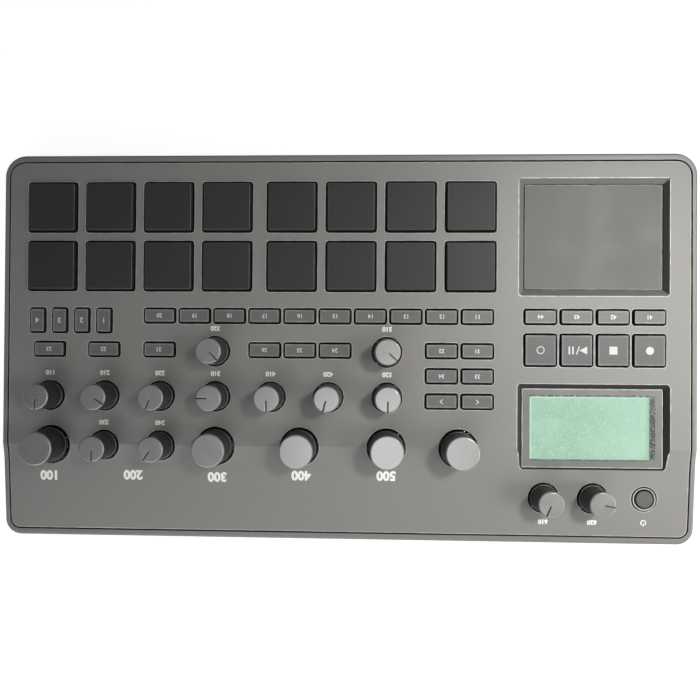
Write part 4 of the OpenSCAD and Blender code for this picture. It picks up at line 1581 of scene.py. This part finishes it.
@dataclass(frozen=True)
class Lamp:
    """A square soft lamp with a grid that narrows its beam."""

    name: str
    place: Triple
    aim: Triple
    size: float
    watts: float
    tint: Triple = WHITE
    spread_deg: float = 180.0

    def build(self) -> None:
        """Adds the lamp to the scene."""
        data = bpy.data.lights.new(self.name, "AREA")
        data.size = self.size
        data.energy = self.watts
        data.color = self.tint
        data.spread = math.radians(self.spread_deg)
        lamp = add_object(self.name, data)
        lamp.location = self.place
        beam = Vector(self.aim) - Vector(self.place)
        lamp.rotation_euler = beam.to_track_quat("-Z", "Y").to_euler()


@dataclass
class Studio:
    """A plain pale floor, soft lamps and the camera."""

    floor_half: float = 3.0
    floor_z: float = -0.0003
    floor_colour: Triple = (0.8, 0.8, 0.8)
    floor_roughness: float = 0.9
    floor_glow: float = 1.25
    floor_glow_share: float = 0.72
    camera_place: Triple = (-0.01112, -0.01412, 0.29798)
    camera_turn_deg: Triple = (-3.183, 1.749, -179.728)
    focal_mm: float = 28.568
    sensor_mm: float = 36.0
    sky: Triple = (0.93, 0.96, 1.0)
    sky_strength: float = 0.02
    lamps: tuple[Lamp, ...] = (
        Lamp("window_lamp", (-0.3, -0.18, 0.5), (-0.19, 0.01, 0.03), 0.09, 0.44, DAYLIGHT, 72.0),
        Lamp("side_lamp", (-0.72, 0.16, 0.42), (-0.17, 0.07, 0.03), 0.5, 0.68, DAYLIGHT, 60.0),
        Lamp("ceiling_lamp", (-0.04, 0.19, 1.1), (0.0, 0.0, 0.03), 0.42, 0.85, SKYLIGHT),
        Lamp("ceiling", (0.1, 0.3, 1.2), (0.1, 0.2, 0.03), 1.6, 1.45, SKYLIGHT),
        Lamp("fill_lamp", (0.38, 0.5, 0.4), (0.1, 0.06, 0.03), 0.35, 0.3, SKYLIGHT, 90.0),
        Lamp("rear_lamp", (0.0, 0.75, 0.5), (0.0, 0.07, 0.03), 0.85, 0.97, (1.0, 0.995, 0.985), 70.0),
    )

    def build(self) -> None:
        """Builds the floor, the lamps, the sky and the camera."""
        self.floor()
        self.world()
        for lamp in self.lamps:
            lamp.build()
        self.camera()
        bpy.context.scene.view_settings.view_transform = "Standard"

    def floor(self) -> None:
        """Adds a large floor that looks nearly white to the camera and still takes shadows."""
        shape = bmesh.new()
        place = Matrix.Translation((0.0, 0.0, self.floor_z))
        bmesh.ops.create_grid(shape, x_segments=1, y_segments=1, size=self.floor_half, matrix=place)
        mesh = bpy.data.meshes.new("floor")
        shape.to_mesh(mesh)
        shape.free()
        mesh.materials.append(self.floor_material())
        floor = add_object("floor", mesh)

    def floor_material(self) -> Material:
        """A matt floor with a white glow that only the camera and reflections see.

        Returns:
            The material.
        """
        material = bpy.data.materials.new("floor_paper")
        material.use_nodes = True
        wires = Wires(material.node_tree)
        nodes = material.node_tree.nodes
        shader = nodes["Principled BSDF"]
        wires.fill(shader, Roughness=self.floor_roughness, Base_Color=self.floor_colour)
        glow = wires.add("ShaderNodeEmission", Color=WHITE, Strength=self.floor_glow)
        seen = wires.math("MULTIPLY", self.seen(wires), self.floor_glow_share)
        mixed = wires.blend(seen, shader.outputs["BSDF"], glow.outputs["Emission"])
        wires.fill(nodes["Material Output"], Surface=mixed)
        return material

    def seen(self, wires: Wires) -> NodeSocket:
        """1 for what is seen straight, in a mirror or through glass, and 0 for light on the object.

        Args:
            wires: The floor material's tree.

        Returns:
            The share of the glow.
        """
        path = wires.add("ShaderNodeLightPath").outputs
        straight = wires.math("ADD", path["Is Camera Ray"], path["Is Glossy Ray"])
        total = wires.math("ADD", straight, path["Is Transmission Ray"])
        return wires.math("MINIMUM", total, 1.0)

    def world(self) -> None:
        """A soft even sky, white where the camera sees it."""
        world = bpy.data.worlds.new("studio_sky")
        world.use_nodes = True
        bpy.context.scene.world = world
        wires = Wires(world.node_tree)
        nodes = world.node_tree.nodes
        soft = nodes["Background"]
        wires.fill(soft, Color=self.sky, Strength=self.sky_strength)
        white = wires.add("ShaderNodeBackground", Color=WHITE, Strength=1.0)
        seen = wires.add("ShaderNodeLightPath").outputs["Is Camera Ray"]
        mixed = wires.blend(seen, soft.outputs[0], white.outputs[0])
        wires.fill(nodes["World Output"], Surface=mixed)

    def camera(self) -> None:
        """Places the camera over the middle of the object, with the player's side at the top."""
        data = bpy.data.cameras.new("camera")
        data.sensor_width = self.sensor_mm
        data.lens = self.focal_mm
        data.clip_start = 10 * MM
        camera = add_object("camera", data)
        camera.location = self.camera_place
        camera.rotation_euler = Euler([math.radians(angle) for angle in self.camera_turn_deg])
        bpy.context.scene.camera = camera


def main() -> None:
    """Builds every sub-assembly in order."""
    logging.basicConfig(level=logging.INFO, format="%(message)s")
    Studio().build()
    shells = Shells()
    shells.build()
    PadField().build()
    KeyField().build()
    Controls().build()
    Display().build()
    Small().build()
    PanelPrint().build(shells.top_panel)


if __name__ == "__main__":
    main()
